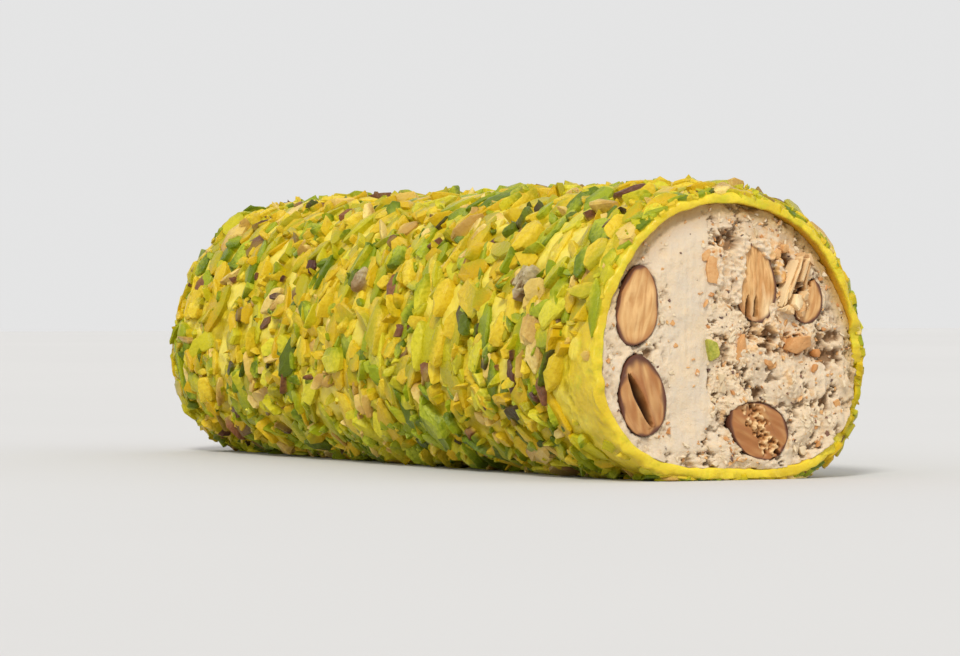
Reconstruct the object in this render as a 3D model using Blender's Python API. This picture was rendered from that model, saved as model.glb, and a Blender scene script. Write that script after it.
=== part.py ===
"""Turkish delight roll: a nougat log with roasted almonds, in a yellow wrap set with pistachio chips.

The roll lies along Y with its cut face at -Y, and rests on a flat spot at z = 0.
Angles round the roll run from +X towards +Z, as seen from the cut face.
"""

import math

import bmesh
import bpy
import numpy as np
from mathutils import Vector, noise

MM = 0.001

# Driving dimensions of the roll.
ROLL_LENGTH = 172 * MM
FILLING_RADIUS = 23.5 * MM
AXIS_HEIGHT = 23.2 * MM
SECTION_SHIFT = 0.55 * MM
GAP = 0.3 * MM

# The section sags out of round: waves per turn, share of the radius, and the angle of a crest in degrees.
SECTION_LOBES = ((1, 0.034, -126.4), (2, 0.046, -8.3), (3, 0.048, -31.7), (4, 0.026, 43.3))

# The wrap is thinner and drawn in where the knife pressed on it, most at the upper right.
WRAP_AT_CUT = 1.2 * MM
WRAP_IN_BODY = 2.1 * MM
RIM_SWELL = 0.35 * MM
RIM_SWELL_ANGLE = 215
DRAWN_IN_LENGTH = 8 * MM
DRAWN_IN_STEPS = (0.0, 0.12, 0.4, 1.0)
WRAP_FLOOR = 1.5 * MM
RIM_WAVE = 0.35 * MM
WRAP_SIDES = 36

# Pistachio chips, largest first: how many, length, width.
CHIP_SIZES = ((50, 11.0 * MM, 5.4 * MM), (135, 9.0 * MM, 4.4 * MM), (180, 6.6 * MM, 3.4 * MM))
CHIP_RISE = 1.25 * MM
CHIP_ROOT = 0.75 * MM
CHIP_CORNERS = ((-1.0, 0.1), (-0.5, -0.9), (0.75, -0.7), (1.0, 0.35), (-0.1, 1.0))
CHIP_END_CLEARANCE = 3.0 * MM
CHIP_FLOOR_CLEARANCE = 0.25 * MM
CHIP_CANDIDATES = 14
CHIP_SEED = 11

# A smooth band without chips runs along the cut at the lower left.
BARE_BAND_LENGTH = 7.5 * MM
BARE_BAND_ANGLE = 205
BARE_BAND_HALF_ANGLE = 34

# The filling's two ends.
FILLING_SIDES = 36
FILLING_RINGS = (0.16, 0.32, 0.47, 0.62, 0.76, 0.89, 1.0)
FACE_RECESS = 0.3 * MM
SUNK_EDGE = 2.6 * MM
SUNK_EDGE_WIDTH = 0.26
SUNK_EDGE_ANGLE = 74
CRAG_HEIGHT = 1.3 * MM
CRAG_SPAN = 5 * MM

# Pits torn in the cut face: across and up from the axis, radius and depth, in millimetres.
PITS = (
    (9.6, 9.6, 2.2, 2.4),
    (6.5, 0.4, 2.3, 2.0),
    (-1.2, 16.2, 1.8, 1.6),
    (16.7, -4.2, 2.2, 1.8),
    (15.0, -13.2, 1.8, 1.8),
    (3.3, -8.6, 1.6, 1.4),
)

# Almonds at the cut face: name, across, up from the axis, width, height, lean in degrees, depth.
FRONT_ALMONDS = (
    ("almond_upper_left", -18.1, 5.5, 7.4, 13.2, -9, 9.0),
    ("almond_lower_left", -17.5, -9.0, 8.4, 13.6, 12, 8.0),
    ("almond_centre", 4.0, 9.3, 7.4, 13.2, 3, 7.0),
    ("almond_broken", 13.4, 7.2, 5.8, 9.4, -22, 6.0),
    ("almond_bottom", 4.5, -14.9, 9.0, 11.8, 62, 8.0),
)
BACK_ALMONDS = (
    ("almond_back_top", -6.5, 12.0, 8.0, 12.4, 70, 8.0),
    ("almond_back_right", 13.0, 2.5, 7.8, 13.0, -24, 9.0),
    ("almond_back_left", -14.0, -3.5, 7.6, 12.8, 12, 8.0),
    ("almond_back_bottom", 4.0, -12.6, 8.0, 11.6, 78, 7.0),
)
ALMOND_PROUD = 0.35 * MM
POCKET_OPENING = 6 * MM
ALMOND_SIDES = 12
ALMOND_TAPER = 0.16

# A nut's body from the cut inwards: share of its depth, share of its width.
NUT_PROFILE = ((0.0, 0.8), (0.05, 1.0), (0.4, 0.93), (0.72, 0.7), (0.93, 0.37))

# The open split in one cut almond: across, up, width, height, lean in degrees.
SPLIT_ALMOND = "almond_lower_left"
SPLIT_SIZE = (-17.9, -9.9, 1.7, 9.8, 27)
SPLIT_DEPTH = 1.6 * MM

# Small nut pieces set in the cut face: across, up, width, height, lean in degrees.
NUT_BITS = (
    (-4.6, 11.6, 4.2, 6.4, 5),
    (0.9, -1.7, 2.2, 5.2, -14),
    (-4.1, -2.1, 2.8, 3.8, 10),
    (12.1, -0.9, 4.6, 3.2, 25),
    (15.6, -5.6, 3.0, 3.6, -30),
)
NUT_BIT_PROUD = 0.5 * MM
NUT_BIT_DEPTH = 2.5 * MM


def clear_scene():
    for obj in list(bpy.data.objects):
        bpy.data.objects.remove(obj, do_unlink=True)


def make_material(name, colour, roughness):
    """A plain material; colour is linear red, green and blue."""
    material = bpy.data.materials.new(name)
    material.use_nodes = True
    shader = material.node_tree.nodes["Principled BSDF"]
    shader.inputs["Base Color"].default_value = (*colour, 1.0)
    shader.inputs["Roughness"].default_value = roughness
    shader.inputs["Metallic"].default_value = 0.0
    return material


def make_object(name, builder, material=None):
    """A scene object from a bmesh, with its faces pointing out."""
    bmesh.ops.recalc_face_normals(builder, faces=builder.faces)
    mesh = bpy.data.meshes.new(name)
    builder.to_mesh(mesh)
    builder.free()
    obj = bpy.data.objects.new(name, mesh)
    bpy.context.scene.collection.objects.link(obj)
    if material:
        mesh.materials.append(material)
    return obj


def smooth_step(value):
    """Eases from 0 to 1 as value goes from 0 to 1."""
    t = min(1.0, max(0.0, value))
    return t * t * (3 - 2 * t)


def filling_radius(angle):
    """Distance from the axis to the filling's outline at the cut."""
    swell = sum(
        share * math.cos(waves * (angle - math.radians(crest)))
        for waves, share, crest in SECTION_LOBES
    )
    return FILLING_RADIUS * (1 + swell)


def wrap_thickness(angle, along):
    """Thickness of the wrap: a quarter round draws it in towards both cuts."""
    inward = min(1.0, (ROLL_LENGTH / 2 - abs(along)) / DRAWN_IN_LENGTH)
    fullness = math.sqrt(1 - (1 - max(0.0, inward)) ** 2)
    rim = WRAP_AT_CUT + RIM_SWELL * math.cos(angle - math.radians(RIM_SWELL_ANGLE))
    return rim + (WRAP_IN_BODY - rim) * fullness


def section_point(angle, radius, along, floor):
    """A point at that angle and radius about the axis, kept above the floor height."""
    height = AXIS_HEIGHT + radius * math.sin(angle)
    return Vector((SECTION_SHIFT + radius * math.cos(angle), along, max(floor, height)))


def wrap_point(angle, along, rise=0.0, floor=0.0):
    """A point on the wrap's outer surface, or above it by rise."""
    radius = filling_radius(angle) + wrap_thickness(angle, along) + rise
    return section_point(angle, radius, along, floor)


def rim_wave(angle):
    """How far the cut edge of the wrap wanders along the roll."""
    return RIM_WAVE * noise.noise(Vector((3 * math.cos(angle), 3 * math.sin(angle), 0.7)))


def build_wrap():
    """The yellow wrap: a tube open at both ends, flat where the roll rests."""
    half = ROLL_LENGTH / 2
    body = [half - DRAWN_IN_LENGTH * share for share in DRAWN_IN_STEPS]
    outer = [-along for along in body] + body[::-1]
    angles = [2 * math.pi * k / WRAP_SIDES for k in range(WRAP_SIDES)]
    rings = []
    builder = bmesh.new()
    for along in outer:
        wander = [rim_wave(a) if abs(along) == half else 0.0 for a in angles]
        rings.append([builder.verts.new(wrap_point(a, along + w)) for a, w in zip(angles, wander)])
    for along in (half, -half):
        inner = [
            section_point(a, filling_radius(a), along + rim_wave(a), WRAP_FLOOR) for a in angles
        ]
        rings.append([builder.verts.new(point) for point in inner])
    for ring, following in zip(rings, rings[1:] + rings[:1]):
        for k in range(WRAP_SIDES):
            after = (k + 1) % WRAP_SIDES
            builder.faces.new((ring[k], ring[after], following[after], following[k]))
    return builder


def chip_layout():
    """Places of the chips: each is the candidate spot furthest from the chips already there."""
    draw = np.random.default_rng(CHIP_SEED)
    reach = ROLL_LENGTH / 2 - CHIP_END_CLEARANCE
    turn = 2 * math.pi * FILLING_RADIUS
    spots = np.empty((0, 2))
    chips = []
    for count, length, width in CHIP_SIZES:
        for _ in range(count):
            tries = draw.uniform((-reach, 0.0), (reach, turn), (CHIP_CANDIDATES, 2))
            best = tries[0]
            if len(spots):
                apart = np.abs(tries[:, None] - spots[None])
                apart[..., 1] = np.minimum(apart[..., 1], turn - apart[..., 1])
                best = tries[np.argmax(np.hypot(apart[..., 0], apart[..., 1]).min(axis=1))]
            spots = np.vstack((spots, best))
            chips.append(
                {
                    "along": best[0],
                    "angle": best[1] / FILLING_RADIUS,
                    "length": length * draw.uniform(0.8, 1.15),
                    "width": width * draw.uniform(0.8, 1.2),
                    "turn": draw.normal(0.0, 0.45),
                    "mirror": draw.choice((-1, 1)),
                    "rise": CHIP_RISE * draw.uniform(0.6, 1.15),
                    "tilt": draw.uniform(-0.35, 0.35),
                }
            )
    return chips


def chip_points(chip, scale, rise):
    """The chip's outline laid on the wrap, its long axis mostly round the roll."""
    cosine, sine = math.cos(chip["turn"]), math.sin(chip["turn"])
    points = []
    for long_share, wide_share in CHIP_CORNERS:
        u = long_share * chip["mirror"] * chip["length"] / 2 * scale
        v = wide_share * chip["width"] / 2 * scale
        angle = chip["angle"] + (u * cosine - v * sine) / FILLING_RADIUS
        along = chip["along"] + u * sine + v * cosine
        height = rise * (1 + chip["tilt"] * wide_share) if rise > 0 else rise
        points.append(wrap_point(angle, along, height, CHIP_FLOOR_CLEARANCE))
    return points


def stands_clear(chip):
    """True if the chip lies on the wrap clear of the resting spot and of the bare band."""
    lowest = min(point.z for point in chip_points(chip, 1.0, 0.0))
    apart = math.remainder(chip["angle"] - math.radians(BARE_BAND_ANGLE), 2 * math.pi)
    at_cut = chip["along"] < BARE_BAND_LENGTH + chip["width"] / 2 - ROLL_LENGTH / 2
    on_band = at_cut and abs(apart) < math.radians(BARE_BAND_HALF_ANGLE)
    return lowest > 2.2 * CHIP_FLOOR_CLEARANCE and not on_band


def build_chip(chip):
    """One chip: a thin flat piece with bevelled edges, its root sunk in the wrap."""
    builder = bmesh.new()
    root = [builder.verts.new(p) for p in chip_points(chip, 0.92, -CHIP_ROOT)]
    top = [builder.verts.new(p) for p in chip_points(chip, 0.86, chip["rise"])]
    builder.faces.new(root)
    builder.faces.new(top)
    for k in range(len(root)):
        after = (k + 1) % len(root)
        builder.faces.new((root[k], root[after], top[after], top[k]))
    return builder


def edge_sink(across, up):
    """How far the filling sinks back near its edge, most at the upper right, as a length."""
    angle = math.atan2(up, across)
    share = math.hypot(across, up) / filling_radius(angle)
    turned = math.cos(angle - math.radians(SUNK_EDGE_ANGLE))
    inward = (share - 1 + SUNK_EDGE_WIDTH) / SUNK_EDGE_WIDTH
    return SUNK_EDGE * smooth_step(inward) * smooth_step(turned + 0.3)


def crags(across, up, seed):
    """Torn relief of the cut: strong at the right, gentle where the knife smeared the cream."""
    rough = 0.25 + 0.75 * smooth_step((across + 5 * MM) / (8 * MM))
    return CRAG_HEIGHT * rough * noise.noise(Vector((across / CRAG_SPAN, up / CRAG_SPAN, seed)))


def pit_depth(across, up):
    """Depth of the torn pits at a place on the cut face."""
    depth = 0.0
    for pit_across, pit_up, radius, pit in PITS:
        away = math.hypot(across / MM - pit_across, up / MM - pit_up) / radius
        depth += pit * MM * math.exp(-away * away)
    return depth


def build_filling():
    """The nougat: a solid log whose two ends carry the relief of the cut."""
    half = ROLL_LENGTH / 2
    angles = [2 * math.pi * k / FILLING_SIDES for k in range(FILLING_SIDES)]
    builder = bmesh.new()
    ends = []
    for side, seed in ((-1, 0.3), (1, 5.3)):
        rings = []
        for share in FILLING_RINGS:
            ring = []
            for angle in angles:
                radius = share * (filling_radius(angle) - GAP)
                point = section_point(angle, radius, 0, WRAP_FLOOR + GAP)
                across, up = point.x - SECTION_SHIFT, point.z - AXIS_HEIGHT
                depth = FACE_RECESS + edge_sink(across, up) + crags(across, up, seed)
                if side < 0:
                    depth += pit_depth(across, up)
                point.y = side * (half - depth)
                ring.append(builder.verts.new(point))
            rings.append(ring)
        middle = builder.verts.new((SECTION_SHIFT, side * (half - FACE_RECESS), AXIS_HEIGHT))
        for k in range(FILLING_SIDES):
            after = (k + 1) % FILLING_SIDES
            builder.faces.new((middle, rings[0][k], rings[0][after]))
            for ring, following in zip(rings, rings[1:]):
                builder.faces.new((ring[k], following[k], following[after], ring[after]))
        ends.append(rings[-1])
    for k in range(FILLING_SIDES):
        after = (k + 1) % FILLING_SIDES
        builder.faces.new((ends[0][k], ends[1][k], ends[1][after], ends[0][after]))
    return builder


def leaning_point(size, x, z, along):
    """A point given across and up a nut's own leaning outline, from its middle."""
    lean = math.radians(size[4])
    return (
        SECTION_SHIFT + size[0] * MM + x * math.cos(lean) - z * math.sin(lean),
        along,
        AXIS_HEIGHT + size[1] * MM + x * math.sin(lean) + z * math.cos(lean),
    )


def nut_ring(size, scale, swell, along):
    """One oval ring of a nut, narrower towards its top."""
    half_width, half_height = (value * MM / 2 * scale for value in size[2:4])
    ring = []
    for k in range(ALMOND_SIDES):
        turn = 2 * math.pi * k / ALMOND_SIDES
        taper = 1 - ALMOND_TAPER * math.sin(turn)
        x = (half_width * taper + swell) * math.cos(turn)
        z = (half_height + swell) * math.sin(turn)
        ring.append(leaning_point(size, x, z, along))
    return ring


def build_nut(size, side, depth, proud, swell=0.0, opening=0.0):
    """A nut cut across: nearly flat at the cut, with a rounded body going into the log.

    A pocket for it is the same shape swollen by the gap, and open to the outside.
    """
    face = side * (ROLL_LENGTH / 2 - FACE_RECESS + proud)
    layers = [(deep * depth, scale) for deep, scale in NUT_PROFILE]
    if opening:
        layers = [(-opening, 1.0)] + layers[1:]
    builder = bmesh.new()
    rings = [
        [builder.verts.new(p) for p in nut_ring(size, scale, swell, face - side * deep)]
        for deep, scale in layers
    ]
    for ring, following in zip(rings, rings[1:]):
        for k in range(ALMOND_SIDES):
            after = (k + 1) % ALMOND_SIDES
            builder.faces.new((ring[k], ring[after], following[after], following[k]))
    tip = builder.verts.new(leaning_point(size, 0, 0, face - side * (depth + swell)))
    for k in range(ALMOND_SIDES):
        builder.faces.new((rings[-1][k], rings[-1][(k + 1) % ALMOND_SIDES], tip))
    builder.faces.new(rings[0])
    return builder


def build_split():
    """Cutter for the split: a lens across the face, closing to an edge as it goes in."""
    bottom = SPLIT_DEPTH + FACE_RECESS - ALMOND_PROUD - ROLL_LENGTH / 2
    half_width, half_height = (value * MM / 2 for value in SPLIT_SIZE[2:4])
    builder = bmesh.new()
    layers = []
    for along, opening in ((bottom - 2 * SPLIT_DEPTH, 2.0), (bottom, 0.1)):
        wide = half_width * opening
        corners = ((-wide, 0), (0, -half_height), (wide, 0), (0, half_height))
        layers.append([builder.verts.new(leaning_point(SPLIT_SIZE, *c, along)) for c in corners])
    builder.faces.new(layers[0])
    builder.faces.new(layers[1])
    for k in range(len(corners)):
        after = (k + 1) % len(corners)
        builder.faces.new((layers[0][k], layers[0][after], layers[1][after], layers[1][k]))
    return builder


def combine(obj, others, operation):
    """Applies one Boolean of obj with a collection of other objects, and removes them."""
    group = bpy.data.collections.new(obj.name + "_" + operation.lower())
    bpy.context.scene.collection.children.link(group)
    for other in others:
        bpy.context.scene.collection.objects.unlink(other)
        group.objects.link(other)
    modifier = obj.modifiers.new(operation.title(), "BOOLEAN")
    modifier.operation = operation
    modifier.operand_type = "COLLECTION"
    modifier.collection = group
    modifier.solver = "EXACT"
    graph = bpy.context.evaluated_depsgraph_get()
    result = bpy.data.meshes.new_from_object(obj.evaluated_get(graph))
    obj.modifiers.clear()
    obj.data = result
    for other in others:
        bpy.data.objects.remove(other, do_unlink=True)
    bpy.data.collections.remove(group)


def build_roll():
    wrap_material = make_material("yellow_wrap", (0.78, 0.66, 0.045), 0.55)
    filling_material = make_material("nougat", (0.72, 0.58, 0.40), 0.75)
    almond_material = make_material("roasted_almond", (0.50, 0.26, 0.10), 0.6)

    wrap = make_object("pistachio_wrap", build_wrap(), wrap_material)
    chips = [chip for chip in chip_layout() if stands_clear(chip)]
    combine(wrap, [make_object(f"chip_{k}", build_chip(c)) for k, c in enumerate(chips)], "UNION")

    filling = make_object("nougat_filling", build_filling(), filling_material)
    bits = [
        make_object(f"nut_bit_{k}", build_nut(size, -1, NUT_BIT_DEPTH, NUT_BIT_PROUD))
        for k, size in enumerate(NUT_BITS)
    ]
    combine(filling, bits, "UNION")

    pockets = []
    for side, almonds in ((-1, FRONT_ALMONDS), (1, BACK_ALMONDS)):
        for name, *size, depth in almonds:
            nut = build_nut(size, side, depth * MM, ALMOND_PROUD)
            almond = make_object(name, nut, almond_material)
            pocket = build_nut(size, side, depth * MM, ALMOND_PROUD, GAP, POCKET_OPENING)
            pockets.append(make_object(name + "_pocket", pocket))
            if name == SPLIT_ALMOND:
                combine(almond, [make_object("split", build_split())], "DIFFERENCE")
    combine(filling, pockets, "DIFFERENCE")


clear_scene()
build_roll()
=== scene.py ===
"""Turkish delight roll, dressed for its portrait.

A log of almond nougat in a thin yellow lokum sheet, rolled in chopped pistachio.
Lengths are in millimetres until a mesh is made. The roll lies along Y, with the shown cut at -Y.
Angles round the roll run from +X towards +Z.
"""

from __future__ import annotations

import logging
import math
from collections import defaultdict
from dataclasses import dataclass
from enum import Enum

import bmesh
import bpy
import numpy as np
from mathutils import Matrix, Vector, noise


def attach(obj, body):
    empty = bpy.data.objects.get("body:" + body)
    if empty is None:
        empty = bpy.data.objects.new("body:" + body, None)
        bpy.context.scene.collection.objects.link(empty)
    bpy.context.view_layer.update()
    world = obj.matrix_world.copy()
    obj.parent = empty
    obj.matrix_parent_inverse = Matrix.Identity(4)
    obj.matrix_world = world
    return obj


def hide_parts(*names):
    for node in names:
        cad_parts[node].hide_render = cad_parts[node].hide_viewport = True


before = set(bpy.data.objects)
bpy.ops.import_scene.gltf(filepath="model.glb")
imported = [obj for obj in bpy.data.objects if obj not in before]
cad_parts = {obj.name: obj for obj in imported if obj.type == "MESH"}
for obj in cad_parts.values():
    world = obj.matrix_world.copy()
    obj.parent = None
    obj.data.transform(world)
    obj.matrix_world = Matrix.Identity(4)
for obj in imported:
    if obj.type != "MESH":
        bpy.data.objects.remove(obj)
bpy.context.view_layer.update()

MM = 0.001
FRONT = -1
BACK = 1

# Values at a piece's vertices or at places on a cut, by name.
Marks = dict[str, np.ndarray]

log = logging.getLogger("roll")


def linear(hex_colour: str) -> tuple[float, float, float, float]:
    """Turns an sRGB hex colour into the linear colour that shaders take.

    Args:
        hex_colour: Six hex digits after a hash sign.

    Returns:
        Linear red, green and blue, and alpha 1.
    """
    channels = [int(hex_colour[k : k + 2], 16) / 255 for k in (1, 3, 5)]
    red, green, blue = (c / 12.92 if c <= 0.04045 else ((c + 0.055) / 1.055) ** 2.4 for c in channels)
    return (red, green, blue, 1.0)


def add_node(
    tree: bpy.types.NodeTree, kind: str, settings: dict | None = None, links: dict | None = None
) -> bpy.types.Node:
    """Adds one shader node with its settings and links.

    Args:
        tree: The material's node tree.
        kind: The node's type, without the ShaderNode prefix.
        settings: Property or input values by name or input number.
        links: Output sockets by the name or number of the input that each feeds.

    Returns:
        The new node.
    """
    node = tree.nodes.new("ShaderNode" + kind)
    for key, value in (settings or {}).items():
        if isinstance(key, str) and hasattr(node, key):
            setattr(node, key, value)
        else:
            node.inputs[key].default_value = value
    for key, socket in (links or {}).items():
        tree.links.new(socket, node.inputs[key])
    return node


def noise_at(points: np.ndarray, span: float, seed: float = 0.0) -> np.ndarray:
    """Smooth noise between about -0.5 and 0.5 at each point.

    Args:
        points: Points in millimetres, one a row.
        span: Size of one swell of the noise, in millimetres.
        seed: Shift that gives another pattern.

    Returns:
        One value for each point.
    """
    shifted = (points / span + seed).tolist()
    return np.array([noise.noise(place) for place in shifted])


def smooth_step(value: np.ndarray) -> np.ndarray:
    """Eases from 0 to 1 as value goes from 0 to 1."""
    t = np.clip(value, 0.0, 1.0)
    return t * t * (3 - 2 * t)


@dataclass(frozen=True)
class RollForm:
    """The roll's section and wrap as its solids have them, in millimetres and degrees."""

    length: float = 172.0
    filling_radius: float = 23.5
    axis_height: float = 23.2
    section_shift: float = 0.55
    lobes: tuple = ((1, 0.034, -126.4), (2, 0.046, -8.3), (3, 0.048, -31.7), (4, 0.026, 43.3))
    wrap_at_cut: float = 1.2
    wrap_in_body: float = 2.1
    rim_swell: float = 0.35
    rim_swell_angle: float = 215.0
    drawn_in: float = 8.0
    inner_floor: float = 1.5
    # The wrap's edge is torn back over this range of angles, with one deeper tear in it.
    torn_back: float = 1.0
    torn_from: float = -64.0
    torn_to: float = 12.0
    torn_fade: float = 14.0
    torn_span: float = 3.2
    torn_reach: float = 7.0
    tear: float = 3.2
    tear_angle: float = -18.0
    tear_half_angle: float = 12.0
    tear_span: float = 1.1

    @property
    def half(self) -> float:
        """Half of the roll's length."""
        return self.length / 2

    def outline(self, angle: np.ndarray) -> np.ndarray:
        """Distance from the axis to the filling's outline.

        Args:
            angle: Angles in radians.

        Returns:
            Distances in millimetres.
        """
        swell = sum(
            share * np.cos(waves * (angle - math.radians(crest))) for waves, share, crest in self.lobes
        )
        return self.filling_radius * (1 + swell)

    def wrap_thickness(self, angle: np.ndarray, along: np.ndarray) -> np.ndarray:
        """Thickness of the wrap, which is drawn in by a quarter round towards both cuts.

        Args:
            angle: Angles in radians.
            along: Places along the roll.

        Returns:
            Thicknesses in millimetres.
        """
        inward = np.clip((self.half - np.abs(along)) / self.drawn_in, 0.0, 1.0)
        fullness = np.sqrt(1 - (1 - inward) ** 2)
        rim = self.wrap_at_cut + self.rim_swell * np.cos(angle - math.radians(self.rim_swell_angle))
        return rim + (self.wrap_in_body - rim) * fullness

    def circle(self, angle: np.ndarray) -> np.ndarray:
        """Points round the filling's mean circle, for noise that closes on itself."""
        return np.stack((np.cos(angle), np.sin(angle), 0 * angle), axis=-1) * self.filling_radius

    def section_point(
        self, angle: np.ndarray, radius: np.ndarray, along: np.ndarray, floor: float
    ) -> np.ndarray:
        """Points at an angle and a radius about the axis.

        Args:
            angle: Angles in radians.
            radius: Distances from the axis.
            along: Places along the roll.
            floor: Lowest height that a point may have.

        Returns:
            Points, with their coordinates along the last axis.
        """
        across = self.section_shift + radius * np.cos(angle)
        height = np.maximum(floor, self.axis_height + radius * np.sin(angle))
        return np.stack(np.broadcast_arrays(across, along, height), axis=-1)

    def on_wrap(
        self, angle: np.ndarray, along: np.ndarray, rise: np.ndarray, floor: float
    ) -> np.ndarray:
        """Points on the wrap's outer surface, or above it by rise."""
        radius = self.outline(angle) + self.wrap_thickness(angle, along) + rise
        return self.section_point(angle, radius, along, floor)

    def set_back(self, angle: np.ndarray, away: np.ndarray | float) -> np.ndarray:
        """How far the wrap is torn back at the lower right of the shown cut.

        Args:
            angle: Angles in radians.
            away: Distances from the cut.

        Returns:
            How far each place moves away from the cut, in millimetres.
        """
        turned = np.degrees(np.remainder(angle + math.pi, 2 * math.pi) - math.pi)
        opening = smooth_step((turned - self.torn_from) / self.torn_fade)
        window = opening * smooth_step((self.torn_to - turned) / self.torn_fade)
        circle = self.circle(angle)
        uneven = np.clip(0.6 + 1.4 * noise_at(circle, self.torn_span, 6.6), 0, None)
        gap = np.exp(-(((turned - self.tear_angle) / self.tear_half_angle) ** 2))
        ragged = 1 + 0.8 * noise_at(circle, self.tear_span, 2.6)
        torn = self.torn_back * window * uneven + self.tear * gap * ragged
        return torn * np.clip(1 - away / self.torn_reach, 0, None)

    def rim_wave(self, angle: np.ndarray) -> np.ndarray:
        """How far the wrap's cut edge wanders along the roll, as in its solid."""
        circle = np.stack((3 * np.cos(angle), 3 * np.sin(angle), np.full_like(angle, 0.7)), axis=-1)
        return 0.35 * noise_at(circle, 1.0)


class Shell:
    """Vertices, faces and vertex marks of one piece, gathered part by part in millimetres."""

    def __init__(self) -> None:
        """Starts with nothing in it."""
        self.points: list[np.ndarray] = []
        self.faces: list[tuple[int, ...]] = []
        self.marks: dict[str, list[np.ndarray]] = defaultdict(list)
        self.count = 0

    def add(self, points: np.ndarray, **marks: np.ndarray | float) -> np.ndarray:
        """Adds points and their marks.

        Args:
            points: Points, one a row.
            **marks: For each mark, one value or one for each point.

        Returns:
            The new vertices' numbers.
        """
        first = self.count
        self.points.append(points)
        self.count += len(points)
        for name, value in marks.items():
            shape = (len(points), 3) if np.ndim(value) == 2 else (len(points),)
            self.marks[name].append(np.broadcast_to(value, shape))
        return np.arange(first, self.count)

    def bridge(self, first: np.ndarray, second: np.ndarray) -> None:
        """Joins two closed rings of vertices by a band of four-cornered faces."""
        quads = np.stack((first, np.roll(first, -1), np.roll(second, -1), second), axis=1)
        self.faces.extend(map(tuple, quads.tolist()))

    def fan(self, ring: np.ndarray, middle: int) -> None:
        """Closes a ring of vertices with triangles that meet at a middle vertex."""
        after = np.roll(ring, -1)
        self.faces.extend((int(a), int(b), int(middle)) for a, b in zip(ring, after))

    def cap(self, ring: np.ndarray) -> None:
        """Closes a ring of vertices with one face."""
        self.faces.append(tuple(ring.tolist()))

    def build(self, name: str, material: bpy.types.Material, sharp: float = 40.0) -> bpy.types.Object:
        """Makes the piece as a mesh object.

        Args:
            name: The piece's name.
            material: Its finish.
            sharp: Edges sharper than this many degrees aren't smoothed over.

        Returns:
            The new object.
        """
        mesh = bpy.data.meshes.new(name)
        mesh.from_pydata((np.concatenate(self.points) * MM).tolist(), [], self.faces)
        work = bmesh.new()
        work.from_mesh(mesh)
        bmesh.ops.recalc_face_normals(work, faces=work.faces)
        work.to_mesh(mesh)
        work.free()
        for mark, parts in self.marks.items():
            values = np.concatenate(parts)
            kind, field = ("FLOAT_VECTOR", "vector") if values.ndim == 2 else ("FLOAT", "value")
            attribute = mesh.attributes.new(mark, kind, "POINT")
            attribute.data.foreach_set(field, values.astype(np.float32).ravel())
        mesh.shade_smooth()
        mesh.set_sharp_from_angle(angle=math.radians(sharp))
        mesh.materials.append(material)
        piece = bpy.data.objects.new(name, mesh)
        bpy.context.scene.collection.objects.link(piece)
        return piece


def settle(piece: bpy.types.Object, slot: str, *nodes: str) -> None:
    """Lets a piece ride on the roll and hides the solids that it stands for.

    Args:
        piece: The finished piece.
        slot: Not used.
        *nodes: Solids that the piece replaces.
    """
    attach(piece, "root")
    if nodes:
        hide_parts(*nodes)
    log.info("%s: %d faces", piece.name, len(piece.data.polygons))


@dataclass(frozen=True)
class Swells:
    """A cloudy pattern with swells of a real size, eased from 0 to 1 between two of its levels."""

    size_mm: float
    low: float = 0.0
    high: float = 1.0
    detail: float = 3.0
    roughness: float = 0.55
    distortion: float = 0.0
    along: str = ""

    def noise(self, tree: bpy.types.NodeTree) -> bpy.types.NodeSocket:
        """Adds the pattern over the piece, or over the places in millimetres that a mark gives.

        Args:
            tree: The material's node tree.

        Returns:
            The pattern's value, about 0.5 on average.
        """
        if self.along:
            place = add_node(tree, "Attribute", {"attribute_name": self.along}).outputs["Vector"]
            scale = 1 / self.size_mm
        else:
            place = add_node(tree, "TexCoord").outputs["Object"]
            scale = 1 / (self.size_mm * MM)
        settings = {"Scale": scale, "Detail": self.detail, "Roughness": self.roughness}
        settings["Distortion"] = self.distortion
        return add_node(tree, "TexNoise", settings, {"Vector": place}).outputs["Fac"]

    def eased(self, tree: bpy.types.NodeTree) -> bpy.types.NodeSocket:
        """Adds the pattern, stretched so that low becomes 0 and high becomes 1."""
        settings = {"interpolation_type": "SMOOTHSTEP", "From Min": self.low, "From Max": self.high}
        return add_node(tree, "MapRange", settings, {"Value": self.noise(tree)}).outputs["Result"]


class Meeting(Enum):
    """How a layer's mark and its swells meet."""

    BOTH = "MULTIPLY"
    EITHER = "MAXIMUM"
    SUM = "ADD"


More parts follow.
